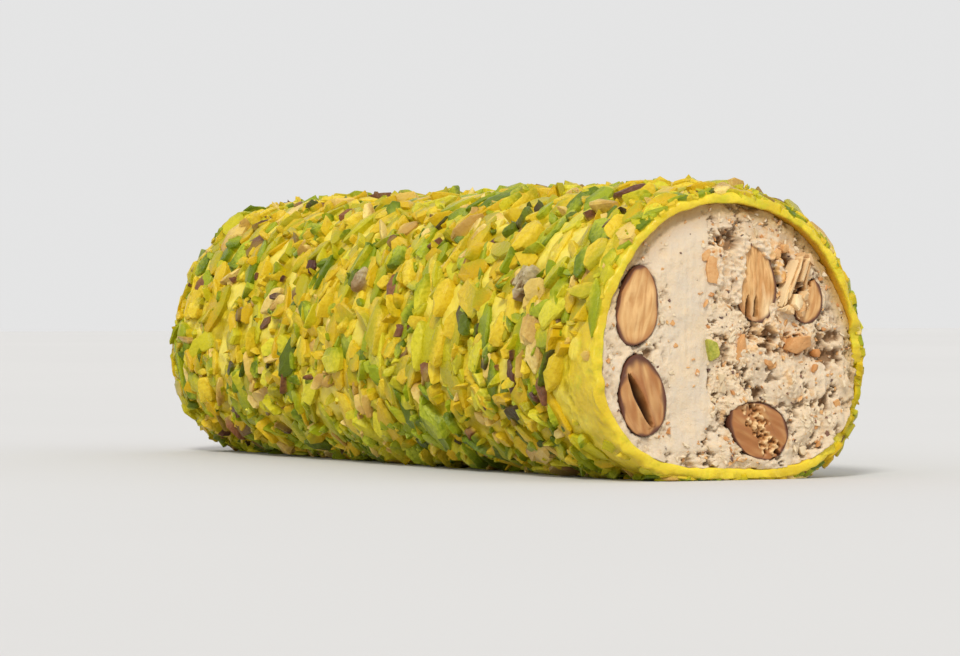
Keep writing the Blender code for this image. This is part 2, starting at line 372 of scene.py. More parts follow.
@dataclass(frozen=True)
class Layer:
    """A colour laid over others, where a mark of the mesh has it, where swells do, or as both meet.

    share weakens the swells, and span has the values that become none and all of the colour.
    """

    colour: "str | Paint"
    mark: str = ""
    swells: Swells | None = None
    meeting: Meeting = Meeting.BOTH
    share: float = 1.0
    span: tuple[float, float] | None = None

    def mask(self, tree: bpy.types.NodeTree) -> bpy.types.NodeSocket:
        """Adds what says where the layer lies.

        Args:
            tree: The material's node tree.

        Returns:
            0 where there is none of it and 1 where it covers.
        """
        value = None
        if self.swells:
            value = self.swells.eased(tree)
        if self.share < 1:
            value = add_node(tree, "Math", {"operation": "MULTIPLY", 1: self.share}, {0: value}).outputs[0]
        if self.mark:
            marked = add_node(tree, "Attribute", {"attribute_name": self.mark}).outputs["Fac"]
            if value:
                links = {0: value, 1: marked}
                marked = add_node(tree, "Math", {"operation": self.meeting.value}, links).outputs[0]
            value = marked
        if self.span:
            low, high = self.span
            settings = {"interpolation_type": "SMOOTHSTEP", "From Min": low, "From Max": high}
            value = add_node(tree, "MapRange", settings, {"Value": value}).outputs["Result"]
        return value

    def over(self, tree: bpy.types.NodeTree, below: str | bpy.types.NodeSocket) -> bpy.types.NodeSocket:
        """Lays the layer over a colour.

        Args:
            tree: The material's node tree.
            below: The colour below, as a socket or an sRGB hex colour.

        Returns:
            The colour with the layer over it.
        """
        settings: dict = {"data_type": "RGBA"}
        links = {0: self.mask(tree)}
        above = self.colour.add_to(tree) if isinstance(self.colour, Paint) else self.colour
        for place, colour in ((6, below), (7, above)):
            if isinstance(colour, str):
                settings[place] = linear(colour)
            else:
                links[place] = colour
        return add_node(tree, "Mix", settings, links).outputs[2]


@dataclass(frozen=True)
class Paint:
    """An sRGB hex colour with layers over it."""

    base: str
    layers: tuple[Layer, ...]

    def add_to(self, tree: bpy.types.NodeTree) -> bpy.types.NodeSocket:
        """Adds the base and its layers.

        Args:
            tree: The material's node tree.

        Returns:
            The colour on top.
        """
        colour = self.base
        for layer in self.layers:
            colour = layer.over(tree, colour)
        return colour


@dataclass(frozen=True)
class Finish:
    """What every finish shares: its name, its gloss, how deep light goes into it and its low relief.

    gloss_level is the shader's specular level: 0.5 for a clean surface and less for a dusty or torn one.
    relief_mm has, for each layer of bump, the size of a swell and its height.
    """

    name: str
    roughness: float
    ior: float = 1.45
    gloss_level: float = 0.5
    depth_weight: float = 0.0
    depth_mm: float = 1.0
    depth_tint: tuple[float, float, float] = (1.0, 0.6, 0.3)
    relief_mm: tuple[tuple[float, float], ...] = ()

    def paint(self) -> Paint:
        """The finish's colours."""
        raise NotImplementedError

    def make(self) -> bpy.types.Material:
        """Makes the material, with its colours and its relief.

        Returns:
            The material.
        """
        material = bpy.data.materials.new(self.name)
        material.use_nodes = True
        tree = material.node_tree
        tree.nodes.clear()
        settings = {"Roughness": self.roughness, "IOR": self.ior, "Metallic": 0.0}
        settings["Specular IOR Level"] = self.gloss_level
        if self.depth_weight:
            settings["Subsurface Weight"] = self.depth_weight
            settings["Subsurface Scale"] = self.depth_mm * MM
            settings["Subsurface Radius"] = self.depth_tint
        bent = {}
        for span, height in self.relief_mm:
            links = {"Height": Swells(span).noise(tree), **bent}
            bump = add_node(tree, "Bump", {"Strength": 1.0, "Distance": height * MM}, links)
            bent = {"Normal": bump.outputs["Normal"]}
        links = {"Base Color": self.paint().add_to(tree), **bent}
        shader = add_node(tree, "BsdfPrincipled", settings, links)
        add_node(tree, "OutputMaterial", links={"Surface": shader.outputs["BSDF"]})
        return material


@dataclass(frozen=True)
class LokumSheet(Finish):
    """Starch and sugar jelly, coloured yellow and rolled thin: a dense, waxy, lightly glossy skin."""

    name: str = "rolled yellow lokum sheet"
    roughness: float = 0.34
    ior: float = 1.48
    gloss_level: float = 0.3
    depth_weight: float = 0.25
    depth_mm: float = 1.2
    depth_tint: tuple[float, float, float] = (1.0, 0.8, 0.15)
    # Rolling leaves soft dents and a finely puckered skin, both drawn higher than real to show.
    relief_mm: tuple = ((1.6, 0.3), (0.45, 0.08))
    # Sugar and colour lie in clouds of about 7 mm, and pistachio oil in stains of about 3 mm.
    cloud_mm: float = 7.0
    stain_mm: float = 2.8
    fresh: str = "#E0C834"
    dense: str = "#D6B82A"
    stained: str = "#C4B826"
    # Darker olive yellow for the pressed mark: painted shade in the dents between the sheet's lumps, where
    # chips press in, plus random blotches.
    pressed: str = "#B09A10"
    # Paler yellow where the coat is thin: a painted sheen on the bare lokum.
    moist: str = "#E6D250"
    # Golden orange on the sheet's inside wall: painted shade, warmed like light passing through the sheet.
    inner_wall_shade: str = "#D8A226"

    def paint(self) -> Paint:
        """Clouded, blotched yellow; painted shade where chips press in, painted sheen where bare, painted
        golden shade inside.
        """
        layers = (
            Layer(self.dense, swells=Swells(self.cloud_mm, 0.38, 0.62)),
            Layer(self.stained, swells=Swells(self.stain_mm, 0.5, 0.72)),
            Layer(self.moist, "moist"),
            Layer(self.pressed, "pressed"),
            Layer(self.inner_wall_shade, "inner"),
        )
        return Paint(self.fresh, layers)


@dataclass(frozen=True)
class PistachioFlesh(Finish):
    """Raw pistachio, sliced and chopped: smooth oily flesh with darker skin left on one flank."""

    roughness: float = 0.3
    ior: float = 1.47
    gloss_level: float = 0.24
    depth_weight: float = 0.18
    depth_mm: float = 0.7
    depth_tint: tuple[float, float, float] = (1.0, 0.85, 0.2)
    # The knife leaves steps of about 1 mm and a fine tooth, drawn coarser than real to show.
    relief_mm: tuple = ((0.9, 0.22), (0.28, 0.1))
    # Paler and deeper flesh alternate over less than a millimetre.
    fleck_mm: float = 0.7
    light: str = "#E4C836"
    deep: str = "#C79E18"
    rim: str = "#9C9C1C"
    paste: str = "#D2B60C"

    def paint(self) -> Paint:
        """Each chip has its own tone, a greener or skinned flank, and yellow paste at its foot."""
        flecks = Swells(self.fleck_mm, 0.35, 0.75)
        layers = (
            Layer(self.deep, "tone"),
            Layer(self.deep, swells=flecks, share=0.65),
            Layer(self.rim, "flank", flecks, Meeting.SUM, 0.3, (0.15, 1.2)),
            Layer(self.paste, "foot", span=(0.3, 1.0)),
        )
        return Paint(self.light, layers)


@dataclass(frozen=True)
class WhippedNougat(Finish):
    """Egg-white nougat whipped with ground nuts: a dry cream paste, smeared or torn by the knife."""

    name: str = "whipped nut nougat"
    roughness: float = 0.72
    ior: float = 1.46
    depth_weight: float = 0.25
    depth_mm: float = 1.0
    depth_tint: tuple[float, float, float] = (1.0, 0.75, 0.5)
    # Whipped air leaves a matt grain, drawn coarser than real to show.
    relief_mm: tuple = ((0.8, 0.14), (0.27, 0.1))
    # The paste is clouded over about 3 mm, toasted in patches of 2 mm and flecked with ground skin.
    cloud_mm: float = 3.0
    patch_mm: float = 2.0
    fleck_mm: float = 0.6
    smeared: str = "#D2C1A9"
    torn: str = "#D9C3A3"
    toasted: str = "#CAA475"
    # Dark brown for the hollow mark: painted shade in pits, tears, the sunk upper edge and the pockets
    # round almonds.
    hollow_shade: str = "#8A6A48"
    fleck: str = "#7A553C"
    ground: str = "#D8A662"
    # Ground nut where it lies in hollows: darker roasted brown that also carries painted shade.
    roasted: str = "#94602E"
    # Darker yellow tan at the top rim: painted shade under the rim, with a painted yellow reflection from
    # the wrap.
    rim_shade_and_reflection: str = "#C2A264"

    def paint(self) -> Paint:
        """Even cream where smeared; where torn, toasted patches and brown flecks; painted shade in hollows
        and at the top rim.
        """
        hollow = Paint(self.hollow_shade, (Layer(self.roasted, "nutty"),))
        layers = (
            Layer(self.torn, "torn", Swells(self.cloud_mm, 0.35, 0.7), Meeting.EITHER),
            Layer(self.toasted, "torn", Swells(self.patch_mm, 0.56, 0.7, 5.0)),
            Layer(self.fleck, "torn", Swells(self.fleck_mm, 0.68, 0.75, 2.0)),
            Layer(self.ground, "nutty"),
            Layer(hollow, "hollow"),
            Layer(self.rim_shade_and_reflection, "rim_shade_and_reflection"),
        )
        return Paint(self.smeared, layers)


@dataclass(frozen=True)
class RoastedAlmond(Finish):
    """Roasted almond, cut by the knife: close tan flesh with paler growth lines and a thin dark skin."""

    name: str = "cut roasted almond"
    roughness: float = 0.5
    ior: float = 1.47
    # A sharp cut through dense flesh is nearly flat, with a faint tooth.
    relief_mm: tuple = ((0.9, 0.08), (0.25, 0.04))
    # Growth lines lie a little under 1 mm apart, drawn wider than real to show.
    line_mm: float = 1 / 1.2
    pale: str = "#DAAE72"
    tan: str = "#C08A4E"
    edge: str = "#9E6432"
    skin: str = "#5A3220"
    # Near-black painted shade inside splits, slots and crevices between crumbs.
    split: str = "#2E1408"
    fresh: str = "#F2D6A6"

    def paint(self) -> Paint:
        """Faint growth lines in the flesh, which darkens to the skin, and near-black painted shade in
        splits and crevices.
        """
        growth = Swells(self.line_mm, 0.32, 0.64, roughness=0.5, distortion=0.8, along="grain")
        layers = (
            Layer(self.pale, swells=growth),
            Layer(self.edge, "toast"),
            Layer(self.fresh, "fresh"),
            Layer(self.skin, "skin"),
            Layer(self.split, "hollow"),
        )
        return Paint(self.tan, layers)


@dataclass(frozen=True)
class NutCrumb(Finish):
    """Chopped roasted nut and shreds of its skin, broken small: dry, matt and uneven in tone."""

    name: str = "broken roasted nut"
    roughness: float = 0.6
    light: str = "#E6BC82"
    deep: str = "#BE8348"
    dust: str = "#DCC8A8"
    # Broken nut is rough all over, and nougat clings to it in spots of about 1 mm.
    relief_mm: tuple = ((0.7, 0.16), (0.25, 0.06))
    fleck_mm: float = 0.5
    dust_mm: float = 1.3
    dusted: tuple[float, float] = (0.52, 0.62)

    def paint(self) -> Paint:
        """Each crumb has its own tone, with nougat left on it in places."""
        layers = (
            Layer(self.deep, "tone"),
            Layer(self.deep, swells=Swells(self.fleck_mm, 0.35, 0.7), share=0.5),
            Layer(self.dust, swells=Swells(self.dust_mm, *self.dusted, 5.0)),
        )
        return Paint(self.light, layers)


@dataclass(frozen=True)
class StudioPaper(Finish):
    """Matt pale card under the roll, coated smooth: an even, shadow-catching white."""

    name: str = "coated studio card"
    roughness: float = 0.8
    pale: str = "#CCCBCA"
    cool: str = "#CAC9C8"
    cloud_mm: float = 400.0

    def paint(self) -> Paint:
        """Nearly even white, with the faintest clouding."""
        return Paint(self.pale, (Layer(self.cool, swells=Swells(self.cloud_mm, 0.3, 0.7)),))


class Cut(Enum):
    """How a nut fragment was cut: its outline's corners, as shares of half its length and width."""

    WEDGE = ((-1.0, 0.1), (-0.5, -0.9), (0.75, -0.7), (1.0, 0.35), (-0.1, 1.0))
    LEAF = ((-1.0, 0.05), (-0.45, -0.75), (0.35, -0.9), (1.0, -0.1), (0.4, 0.7), (-0.5, 0.8))
    SHARD = ((-1.0, -0.4), (-0.2, -0.95), (0.85, -0.75), (1.0, 0.4), (0.2, 0.9), (-0.8, 0.6))
    SLIVER = ((-1.0, 0.0), (-0.5, -0.8), (0.6, -0.9), (1.0, 0.0), (0.5, 0.8), (-0.6, 0.9))
    CRUMB = ((-0.9, -0.3), (-0.2, -1.0), (0.9, -0.5), (0.8, 0.6), (0.0, 1.0), (-0.8, 0.5))


@dataclass
class Fragments:
    """Many nut fragments of one cut, each with its own size, turn and lift, in millimetres."""

    cut: Cut
    length: np.ndarray
    width: np.ndarray
    height: np.ndarray
    root: float
    turn: np.ndarray
    mirror: np.ndarray
    tilt_long: np.ndarray
    tilt_wide: np.ndarray
    seed: int
    jitter: float = 0.14
    corner_cut: float = 0.12
    ridge: float = 0.3
    highest: float = 2.9
    # Rings from the root up: share of the outline, and of the height, where 0 is the root.
    profile: tuple = ((0.94, 0.0), (1.0, 0.8), (0.88, 1.0))
    top_jitter: float = 0.06

    def outlines(self, draw: np.random.Generator) -> np.ndarray:
        """Draws each fragment's outline, with its corners shifted and cut off.

        Args:
            draw: Random draws.

        Returns:
            Corners as fragment, corner and coordinate, as shares of half the length and width.
        """
        count = len(self.length)
        corners = np.array(self.cut.value)[None]
        corners = corners + draw.normal(0, self.jitter, (count, corners.shape[1], 2))
        if not self.corner_cut:
            return corners
        after = np.roll(corners, -1, axis=1)
        pair = (corners + (after - corners) * self.corner_cut, after + (corners - after) * self.corner_cut)
        return np.stack(pair, axis=2).reshape(count, -1, 2)

    def shapes(self, draw: np.random.Generator) -> np.ndarray:
        """Draws each fragment as rings from its root to its top, with the top's middle last.

        Args:
            draw: Random draws.

        Returns:
            Vertices as fragment, vertex and coordinate; the third coordinate is a height.
        """
        outline = self.outlines(draw)
        count = len(self.length)
        rings = []
        for scale, level in self.profile:
            ring = np.empty((count, outline.shape[1], 3))
            ring[..., :2] = outline * scale
            ring[..., 2] = self.height[:, None] * level if level else -self.root
            if level == 1.0:
                ring[..., 2] += draw.normal(0, self.top_jitter, ring.shape[:2]) * self.height[:, None]
            rings.append(ring)
        middle = np.zeros((count, 1, 3))
        middle[..., :2] = draw.uniform(-0.4, 0.4, (count, 1, 2))
        middle[..., 2] = self.height[:, None] * (1 + draw.uniform(0, self.ridge, (count, 1)))
        return np.concatenate(rings + [middle], axis=1)

    def local(self) -> tuple[np.ndarray, ...]:
        """Shapes every fragment about its own middle.

        Returns:
            Distances round the roll, along it and out from it, then how far a vertex is on the
            flank and how near it is to the paste.
        """
        draw = np.random.default_rng(self.seed)
        count = len(self.length)
        shape = self.shapes(draw)
        around = (shape.shape[1] - 1) // len(self.profile)
        long_share = shape[..., 0] * self.mirror[:, None]
        wide_share = shape[..., 1].copy()
        towards = draw.uniform(0, 2 * math.pi, (count, 1))
        across_chip = long_share * np.cos(towards) + wide_share * np.sin(towards)
        flank = smooth_step(0.5 + 0.6 * across_chip + draw.uniform(-0.75, 0.45, (count, 1)))
        foot = np.zeros_like(flank)
        foot[:, :around] = 1.0
        foot[:, around : 2 * around] = draw.uniform(0.0, 0.35, (count, 1))
        u = long_share * self.length[:, None] / 2
        v = wide_share * self.width[:, None] / 2
        lifted = shape[..., 2] > 0
        lean = self.tilt_long[:, None] * long_share + self.tilt_wide[:, None] * wide_share
        w = np.minimum(shape[..., 2] * np.where(lifted, np.clip(1 + lean, 0.15, 1.9), 1.0), self.highest)
        cosine, sine = np.cos(self.turn)[:, None], np.sin(self.turn)[:, None]
        return u * cosine - v * sine, u * sine + v * cosine, w, flank, foot

    def add_to(self, shell: Shell, points: np.ndarray, chosen: np.ndarray, **marks: np.ndarray) -> None:
        """Adds chosen fragments to a piece.

        Args:
            shell: The piece.
            points: Every fragment's vertices in place, as fragment, vertex and coordinate.
            chosen: Which fragments are added.
            **marks: For each mark, one value for each fragment and vertex.
        """
        around = (points.shape[1] - 1) // len(self.profile)
        for k in np.flatnonzero(chosen):
            own = {name: value[k] for name, value in marks.items()}
            numbers = shell.add(points[k], **own)
            rings = numbers[:-1].reshape(-1, around)
            shell.cap(rings[0])
            for low, high in zip(rings, rings[1:]):
                shell.bridge(low, high)
            shell.fan(rings[-1], numbers[-1])


class ChipKind(Enum):
    """Kinds of pistachio chip: piece name, share of the coat, and light, deep and flank colours."""

    GOLD = ("golden_chips", 0.5, "#DFC636", "#C6A00A", "#A69C16")
    LIME = ("lime_chips", 0.196, "#D6CA34", "#B2A810", "#8C9410")
    GREEN = ("green_chips", 0.115, "#B4B82E", "#82900C", "#5C6E08")
    DARK = ("dark_green_chips", 0.03, "#6E7A10", "#465408", "#4A3A20")
    PALE = ("pale_chips", 0.078, "#E8D080", "#D2B052", "#B48E46")
    SKIN = ("skin_chips", 0.075, "#8C5C3A", "#4C2E26", "#8E7430")
    HUSK = ("husk_bits", 0.006, "#CCBC94", "#7A6844", "#80623A")


@dataclass(frozen=True)
class PlacedChip:
    """One chip that the photo shows plainly, in millimetres and degrees."""

    kind: ChipKind
    cut: Cut
    angle: float
    along: float
    length: float
    width: float
    height: float
    turn: float

    def fragment(self, seed: int) -> Fragments:
        """Shapes the chip.

        Args:
            seed: Seed of its draws.

        Returns:
            The chip as the only one of its fragments.
        """
        one = np.ones(1)
        turn = math.radians(self.turn) * one
        sizes = (self.length * one, self.width * one, self.height * one)
        return Fragments(self.cut, *sizes, 0.7, turn, one, 0.1 * one, 0.2 * one, seed)


PLACED_CHIPS = (
    PlacedChip(ChipKind.HUSK, Cut.CRUMB, 161, -62.4, 2.6, 1.7, 2.2, 60),
    PlacedChip(ChipKind.HUSK, Cut.CRUMB, 164, -60.6, 2.2, 1.8, 2.5, 10),
    PlacedChip(ChipKind.HUSK, Cut.SHARD, 159, -59.8, 2.8, 1.5, 2.6, 30),
    PlacedChip(ChipKind.HUSK, Cut.CRUMB, 156, -61.6, 2.4, 2.0, 2.4, -30),
    PlacedChip(ChipKind.HUSK, Cut.SLIVER, 161, -61.0, 3.4, 0.6, 2.8, 38),
    PlacedChip(ChipKind.HUSK, Cut.SLIVER, 157.5, -60.6, 2.8, 0.5, 2.9, -12),
    PlacedChip(ChipKind.HUSK, Cut.SLIVER, 163.5, -62.4, 2.4, 0.5, 2.7, 80),
    PlacedChip(ChipKind.HUSK, Cut.SLIVER, 159, -62.6, 2.2, 0.4, 2.9, 12),
    PlacedChip(ChipKind.SKIN, Cut.CRUMB, 160, -58.2, 1.7, 1.2, 2.2, 15),
    PlacedChip(ChipKind.PALE, Cut.SHARD, 177, -66.5, 4.4, 4.2, 2.2, 0),
    PlacedChip(ChipKind.GREEN, Cut.LEAF, 170, -69.0, 5.6, 2.4, 1.9, 70),
    PlacedChip(ChipKind.GREEN, Cut.SLIVER, 152, -77.0, 5.4, 2.0, 1.8, -25),
    PlacedChip(ChipKind.GOLD, Cut.LEAF, 190, -75.5, 6.0, 2.8, 2.0, 35),
    PlacedChip(ChipKind.DARK, Cut.SLIVER, 189, -73.2, 6.0, 1.1, 2.1, 35),
    PlacedChip(ChipKind.GOLD, Cut.LEAF, 176, -8.0, 9.6, 4.7, 2.1, -12),
    PlacedChip(ChipKind.GREEN, Cut.SHARD, 149, -7.0, 4.4, 3.8, 2.2, 0),
    PlacedChip(ChipKind.HUSK, Cut.SLIVER, 158, 3.4, 4.4, 1.5, 2.3, 5),
    PlacedChip(ChipKind.DARK, Cut.SLIVER, 158, 6.2, 3.2, 1.2, 2.1, -12),
    PlacedChip(ChipKind.LIME, Cut.SHARD, 188, 9.0, 4.2, 7.0, 2.3, 5),
    PlacedChip(ChipKind.GREEN, Cut.SLIVER, 209, -27.0, 7.4, 3.2, 2.2, -32),
    PlacedChip(ChipKind.LIME, Cut.LEAF, 163, -23.0, 6.0, 2.8, 2.1, -6),
    PlacedChip(ChipKind.GOLD, Cut.LEAF, 165, -31.5, 6.6, 3.3, 2.2, 0),
    PlacedChip(ChipKind.GOLD, Cut.WEDGE, 177, -55.5, 5.8, 3.2, 2.0, 8),
    PlacedChip(ChipKind.LIME, Cut.LEAF, 183, -25.5, 7.6, 3.0, 2.1, -3),
    PlacedChip(ChipKind.GOLD, Cut.LEAF, 183, -33.0, 6.4, 3.0, 2.1, 4),
    PlacedChip(ChipKind.SKIN, Cut.SLIVER, 178, -18.0, 2.4, 1.6, 2.0, 20),
    PlacedChip(ChipKind.GOLD, Cut.SHARD, 140, -52.0, 7.0, 4.6, 2.1, -15),
    PlacedChip(ChipKind.DARK, Cut.LEAF, 137, -45.0, 3.4, 2.2, 2.2, 10),
    PlacedChip(ChipKind.GOLD, Cut.SHARD, 148, -80.0, 5.6, 3.8, 1.8, 5),
    PlacedChip(ChipKind.SKIN, Cut.SLIVER, 142, -2.0, 2.8, 1.5, 2.2, -20),
    PlacedChip(ChipKind.GREEN, Cut.SHARD, 146, -16.0, 3.4, 2.6, 2.0, 10),
    PlacedChip(ChipKind.SKIN, Cut.SLIVER, 192, -29.0, 3.4, 1.8, 2.0, -30),
    PlacedChip(ChipKind.SKIN, Cut.SLIVER, 197, -71.0, 5.0, 1.3, 1.9, -20),
)


@dataclass
class ChipCoat:
    """Chopped pistachio pressed all over the wrap: the solid's own chips, with smaller ones between."""

    form: RollForm
    solid_sizes: tuple = ((50, 11.0, 5.4), (135, 9.0, 4.4), (180, 6.6, 3.4))
    small_sizes: tuple = (
        (Cut.LEAF, 520, 6.6, 3.1, 1.35),
        (Cut.SHARD, 820, 4.6, 2.9, 1.4),
        (Cut.SLIVER, 700, 4.8, 1.7, 1.5),
        (Cut.WEDGE, 1100, 3.4, 2.3, 1.25),
        (Cut.CRUMB, 1400, 2.1, 1.7, 1.2),
        (Cut.CRUMB, 1700, 1.3, 1.0, 1.0),
    )
    solid_seed: int = 11
    small_seed: int = 23
    placed_seed: int = 200
    placed_share: float = 0.4
    # Spreads of the solid's chips, as shares of their mean sizes and as radians.
    solid_length: tuple = (0.8, 1.15)
    solid_width: tuple = (0.8, 1.2)
    solid_height: tuple = (0.6, 1.15)
    solid_turn: float = 0.45
    solid_tilt: float = 0.35
    candidates: int = 14
    end_clearance: float = 3.0
    rise: float = 1.25
    root: float = 0.75
    # Spreads of the smaller chips.
    small_spread: float = 0.22
    small_length: tuple = (0.8, 1.2)
    small_width: tuple = (0.8, 1.25)
    small_height: tuple = (0.45, 1.35)
    small_turn: float = 0.75
    small_tilts: tuple = (0.42, 0.45)
    small_clearance: float = 0.9
    small_root: float = 0.7
    lowest: float = 0.02
    # Above each mean length, the chips' kinds are drawn from this share of the list of kinds.
    rarest: tuple = ((6.8, 0.81), (4.2, 0.95), (0.0, 1.0))
    # Low on the shown side, chips slant, and those of the first kinds turn greener.
    low_from: float = 190.0
    low_to: float = 275.0
    low_fades: tuple = (40.0, 20.0)
    low_lean: float = 0.6
    low_green: float = 0.26
    green_below: float = 0.62
    # Where the coat is thin, the lokum shows in patches of this size.
    patch_span: float = 6.5
    patch_from: float = 0.1
    patch_fade: float = 0.14
    patch_margin: float = 2.0
    patch_margin_fade: float = 4.0
    patch_bare: float = 0.7
    # Chips are crowded along the cuts and pressed flatter there, and a few reach past the edge.
    edge_chips: int = 420
    edge_gap: float = 0.3
    edge_band: float = 2.6
    overhang: tuple = (-0.15, 1.0)
    end_rise: float = 0.42
    end_reach: float = 7.0
    # A smooth band along the shown cut has hardly any chips, and only small ones.
    bare_share: float = 0.07
    bare_longest: float = 3.5
    bare_length: float = 7.5
    bare_angle: float = 205.0
    bare_half_angle: float = 34.0

    def solid_chips(self) -> tuple[Fragments, np.ndarray, np.ndarray]:
        """Lays the same chips as the solid has, from the same draws.

        Returns:
            The chips, their angles round the roll and their places along it.
        """
        draw = np.random.default_rng(self.solid_seed)
        reach = self.form.half - self.end_clearance
        turn = 2 * math.pi * self.form.filling_radius
        spots = np.empty((0, 2))
        rows = []
        for count, length, width in self.solid_sizes:
            for _ in range(count):
                tries = draw.uniform((-reach, 0.0), (reach, turn), (self.candidates, 2))
                best = tries[0]
                if len(spots):
                    apart = np.abs(tries[:, None] - spots[None])
                    apart[..., 1] = np.minimum(apart[..., 1], turn - apart[..., 1])
                    best = tries[np.argmax(np.hypot(apart[..., 0], apart[..., 1]).min(axis=1))]
                spots = np.vstack((spots, best))
                rows.append(
                    (
                        best[0],
                        best[1] / self.form.filling_radius,
                        length * draw.uniform(*self.solid_length),
                        width * draw.uniform(*self.solid_width),
                        draw.normal(0.0, self.solid_turn),
                        draw.choice((-1, 1)),
                        self.rise * draw.uniform(*self.solid_height),
                        draw.uniform(-self.solid_tilt, self.solid_tilt),
                    )
                )
        along, angle, lengths, widths, turns, mirrors, heights, tilts = np.array(rows).T
        level = np.zeros(len(along))
        chips = Fragments(
            Cut.WEDGE, lengths, widths, heights, self.root, turns, mirrors, level, tilts, 5, 0.05
        )
        return chips, angle, along

    def small_chips(
        self, cut: Cut, count: int, length: float, width: float, height: float, seed: int
    ) -> tuple[Fragments, np.ndarray, np.ndarray]:
        """Lays smaller chips of one cut between the others.

        Args:
            cut: Their outline.
            count: How many there are.
            length: Their mean length.
            width: Their mean width.
            height: How far they stand out.
            seed: Seed of their draws.

        Returns:
            The chips, their angles round the roll and their places along it.
        """
        draw = np.random.default_rng(seed)
        reach = self.form.half - self.small_clearance
        size = draw.lognormal(0.0, self.small_spread, count)
        angle = draw.uniform(0, 2 * math.pi, count)
        chips = Fragments(
            cut,
            length * size * draw.uniform(*self.small_length, count),
            width * size * draw.uniform(*self.small_width, count),
            height * draw.uniform(*self.small_height, count),
            self.small_root,
            draw.normal(0.0, self.small_turn, count) - self.low_lean * self.low(angle),
            draw.choice((-1.0, 1.0), count),
            draw.normal(0.0, self.small_tilts[0], count),
            draw.normal(0.0, self.small_tilts[1], count),
            seed + 1,
            corner_cut=0.0 if cut is Cut.CRUMB else 0.12,
        )
        along = draw.uniform(-reach, reach, count)
        edge_share = self.edge_chips / sum(sizes[1] for sizes in self.small_sizes)
        at_edge = draw.uniform(0, 1, count) < edge_share
        edge = np.sign(along) * (self.form.half - draw.uniform(self.edge_gap, self.edge_band, count))
        chips.turn = np.where(at_edge, draw.normal(0.0, self.small_turn, count), chips.turn)
        return chips, angle, np.where(at_edge, edge, along)

    def low(self, angle: np.ndarray) -> np.ndarray:
        """Tells where the coat is low on the shown side, with slanted and greener chips.

        Args:
            angle: Angles round the roll.

        Returns:
            1 there and 0 elsewhere.
        """
        degrees = np.degrees(angle)
        fade_in, fade_out = self.low_fades
        opening = smooth_step((degrees - self.low_from) / fade_in)
        return opening * smooth_step((self.low_to - degrees) / fade_out)

    def covered(self, angle: np.ndarray, along: np.ndarray, width: np.ndarray) -> np.ndarray:
        """Tells where chips lie off the smooth band along the shown cut.

        Args:
            angle: Angles round the roll.
            along: Places along it.
            width: Widths of the chips there.

        Returns:
            True off the band.
        """
        turned = angle - math.radians(self.bare_angle)
        apart = np.abs(np.remainder(turned + math.pi, 2 * math.pi) - math.pi)
        at_cut = along < self.bare_length + width / 2 - self.form.half
        return ~(at_cut & (apart < math.radians(self.bare_half_angle)))

    def thin(self, angle: np.ndarray, along: np.ndarray) -> np.ndarray:
        """Tells how thin the coat is.

        Args:
            angle: Angles round the roll.
            along: Places along it.

        Returns:
            0 where chips crowd, and up to 1 where the lokum shows between them.
        """
        points = self.form.section_point(angle, self.form.filling_radius, along, 0.0)
        patches = smooth_step((noise_at(points, self.patch_span, 4.7) - self.patch_from) / self.patch_fade)
        inward = smooth_step((self.form.half - np.abs(along) - self.patch_margin) / self.patch_margin_fade)
        return patches * inward * (1 - self.low(angle))

    def clear_of_placed(self, angle: np.ndarray, along: np.ndarray) -> np.ndarray:
        """Tells which chips leave the plainly shown chips uncovered.

        Args:
            angle: The chips' angles round the roll.
            along: Their places along it.

        Returns:
            True for each chip that does.
        """
        clear = np.ones(len(angle), dtype=bool)
        for chip in PLACED_CHIPS:
            aside = (angle - math.radians(chip.angle)) * self.form.filling_radius
            apart = np.hypot(aside, along - chip.along)
            clear &= apart > self.placed_share * max(chip.length, chip.width)
        return clear

    def lifted(self, out: np.ndarray, places: np.ndarray) -> np.ndarray:
        """Presses chips flatter towards the cuts, where the knife went through."""
        inward = smooth_step((self.form.half - np.abs(places)) / self.end_reach)
        return np.where(out > 0, out * (self.end_rise + (1 - self.end_rise) * inward), out)

    def drawn_kinds(self, draw: np.random.Generator, chips: Fragments, angle: np.ndarray) -> np.ndarray:
        """Draws each chip's kind, by the kinds' shares, without the rare kinds among large chips.

        Args:
            draw: Random draws.
            chips: The chips.
            angle: Their angles round the roll.

        Returns:
            For each chip, its kind's place in the list of kinds.
        """
        shares = np.cumsum([kind.value[1] for kind in ChipKind])
        rarest = next(share for length, share in self.rarest if chips.length.mean() > length)
        rank = draw.uniform(0, rarest, len(angle))
        rank = rank + self.low_green * self.low(angle) * (rank < self.green_below)
        return np.searchsorted(shares / shares[-1], rank)

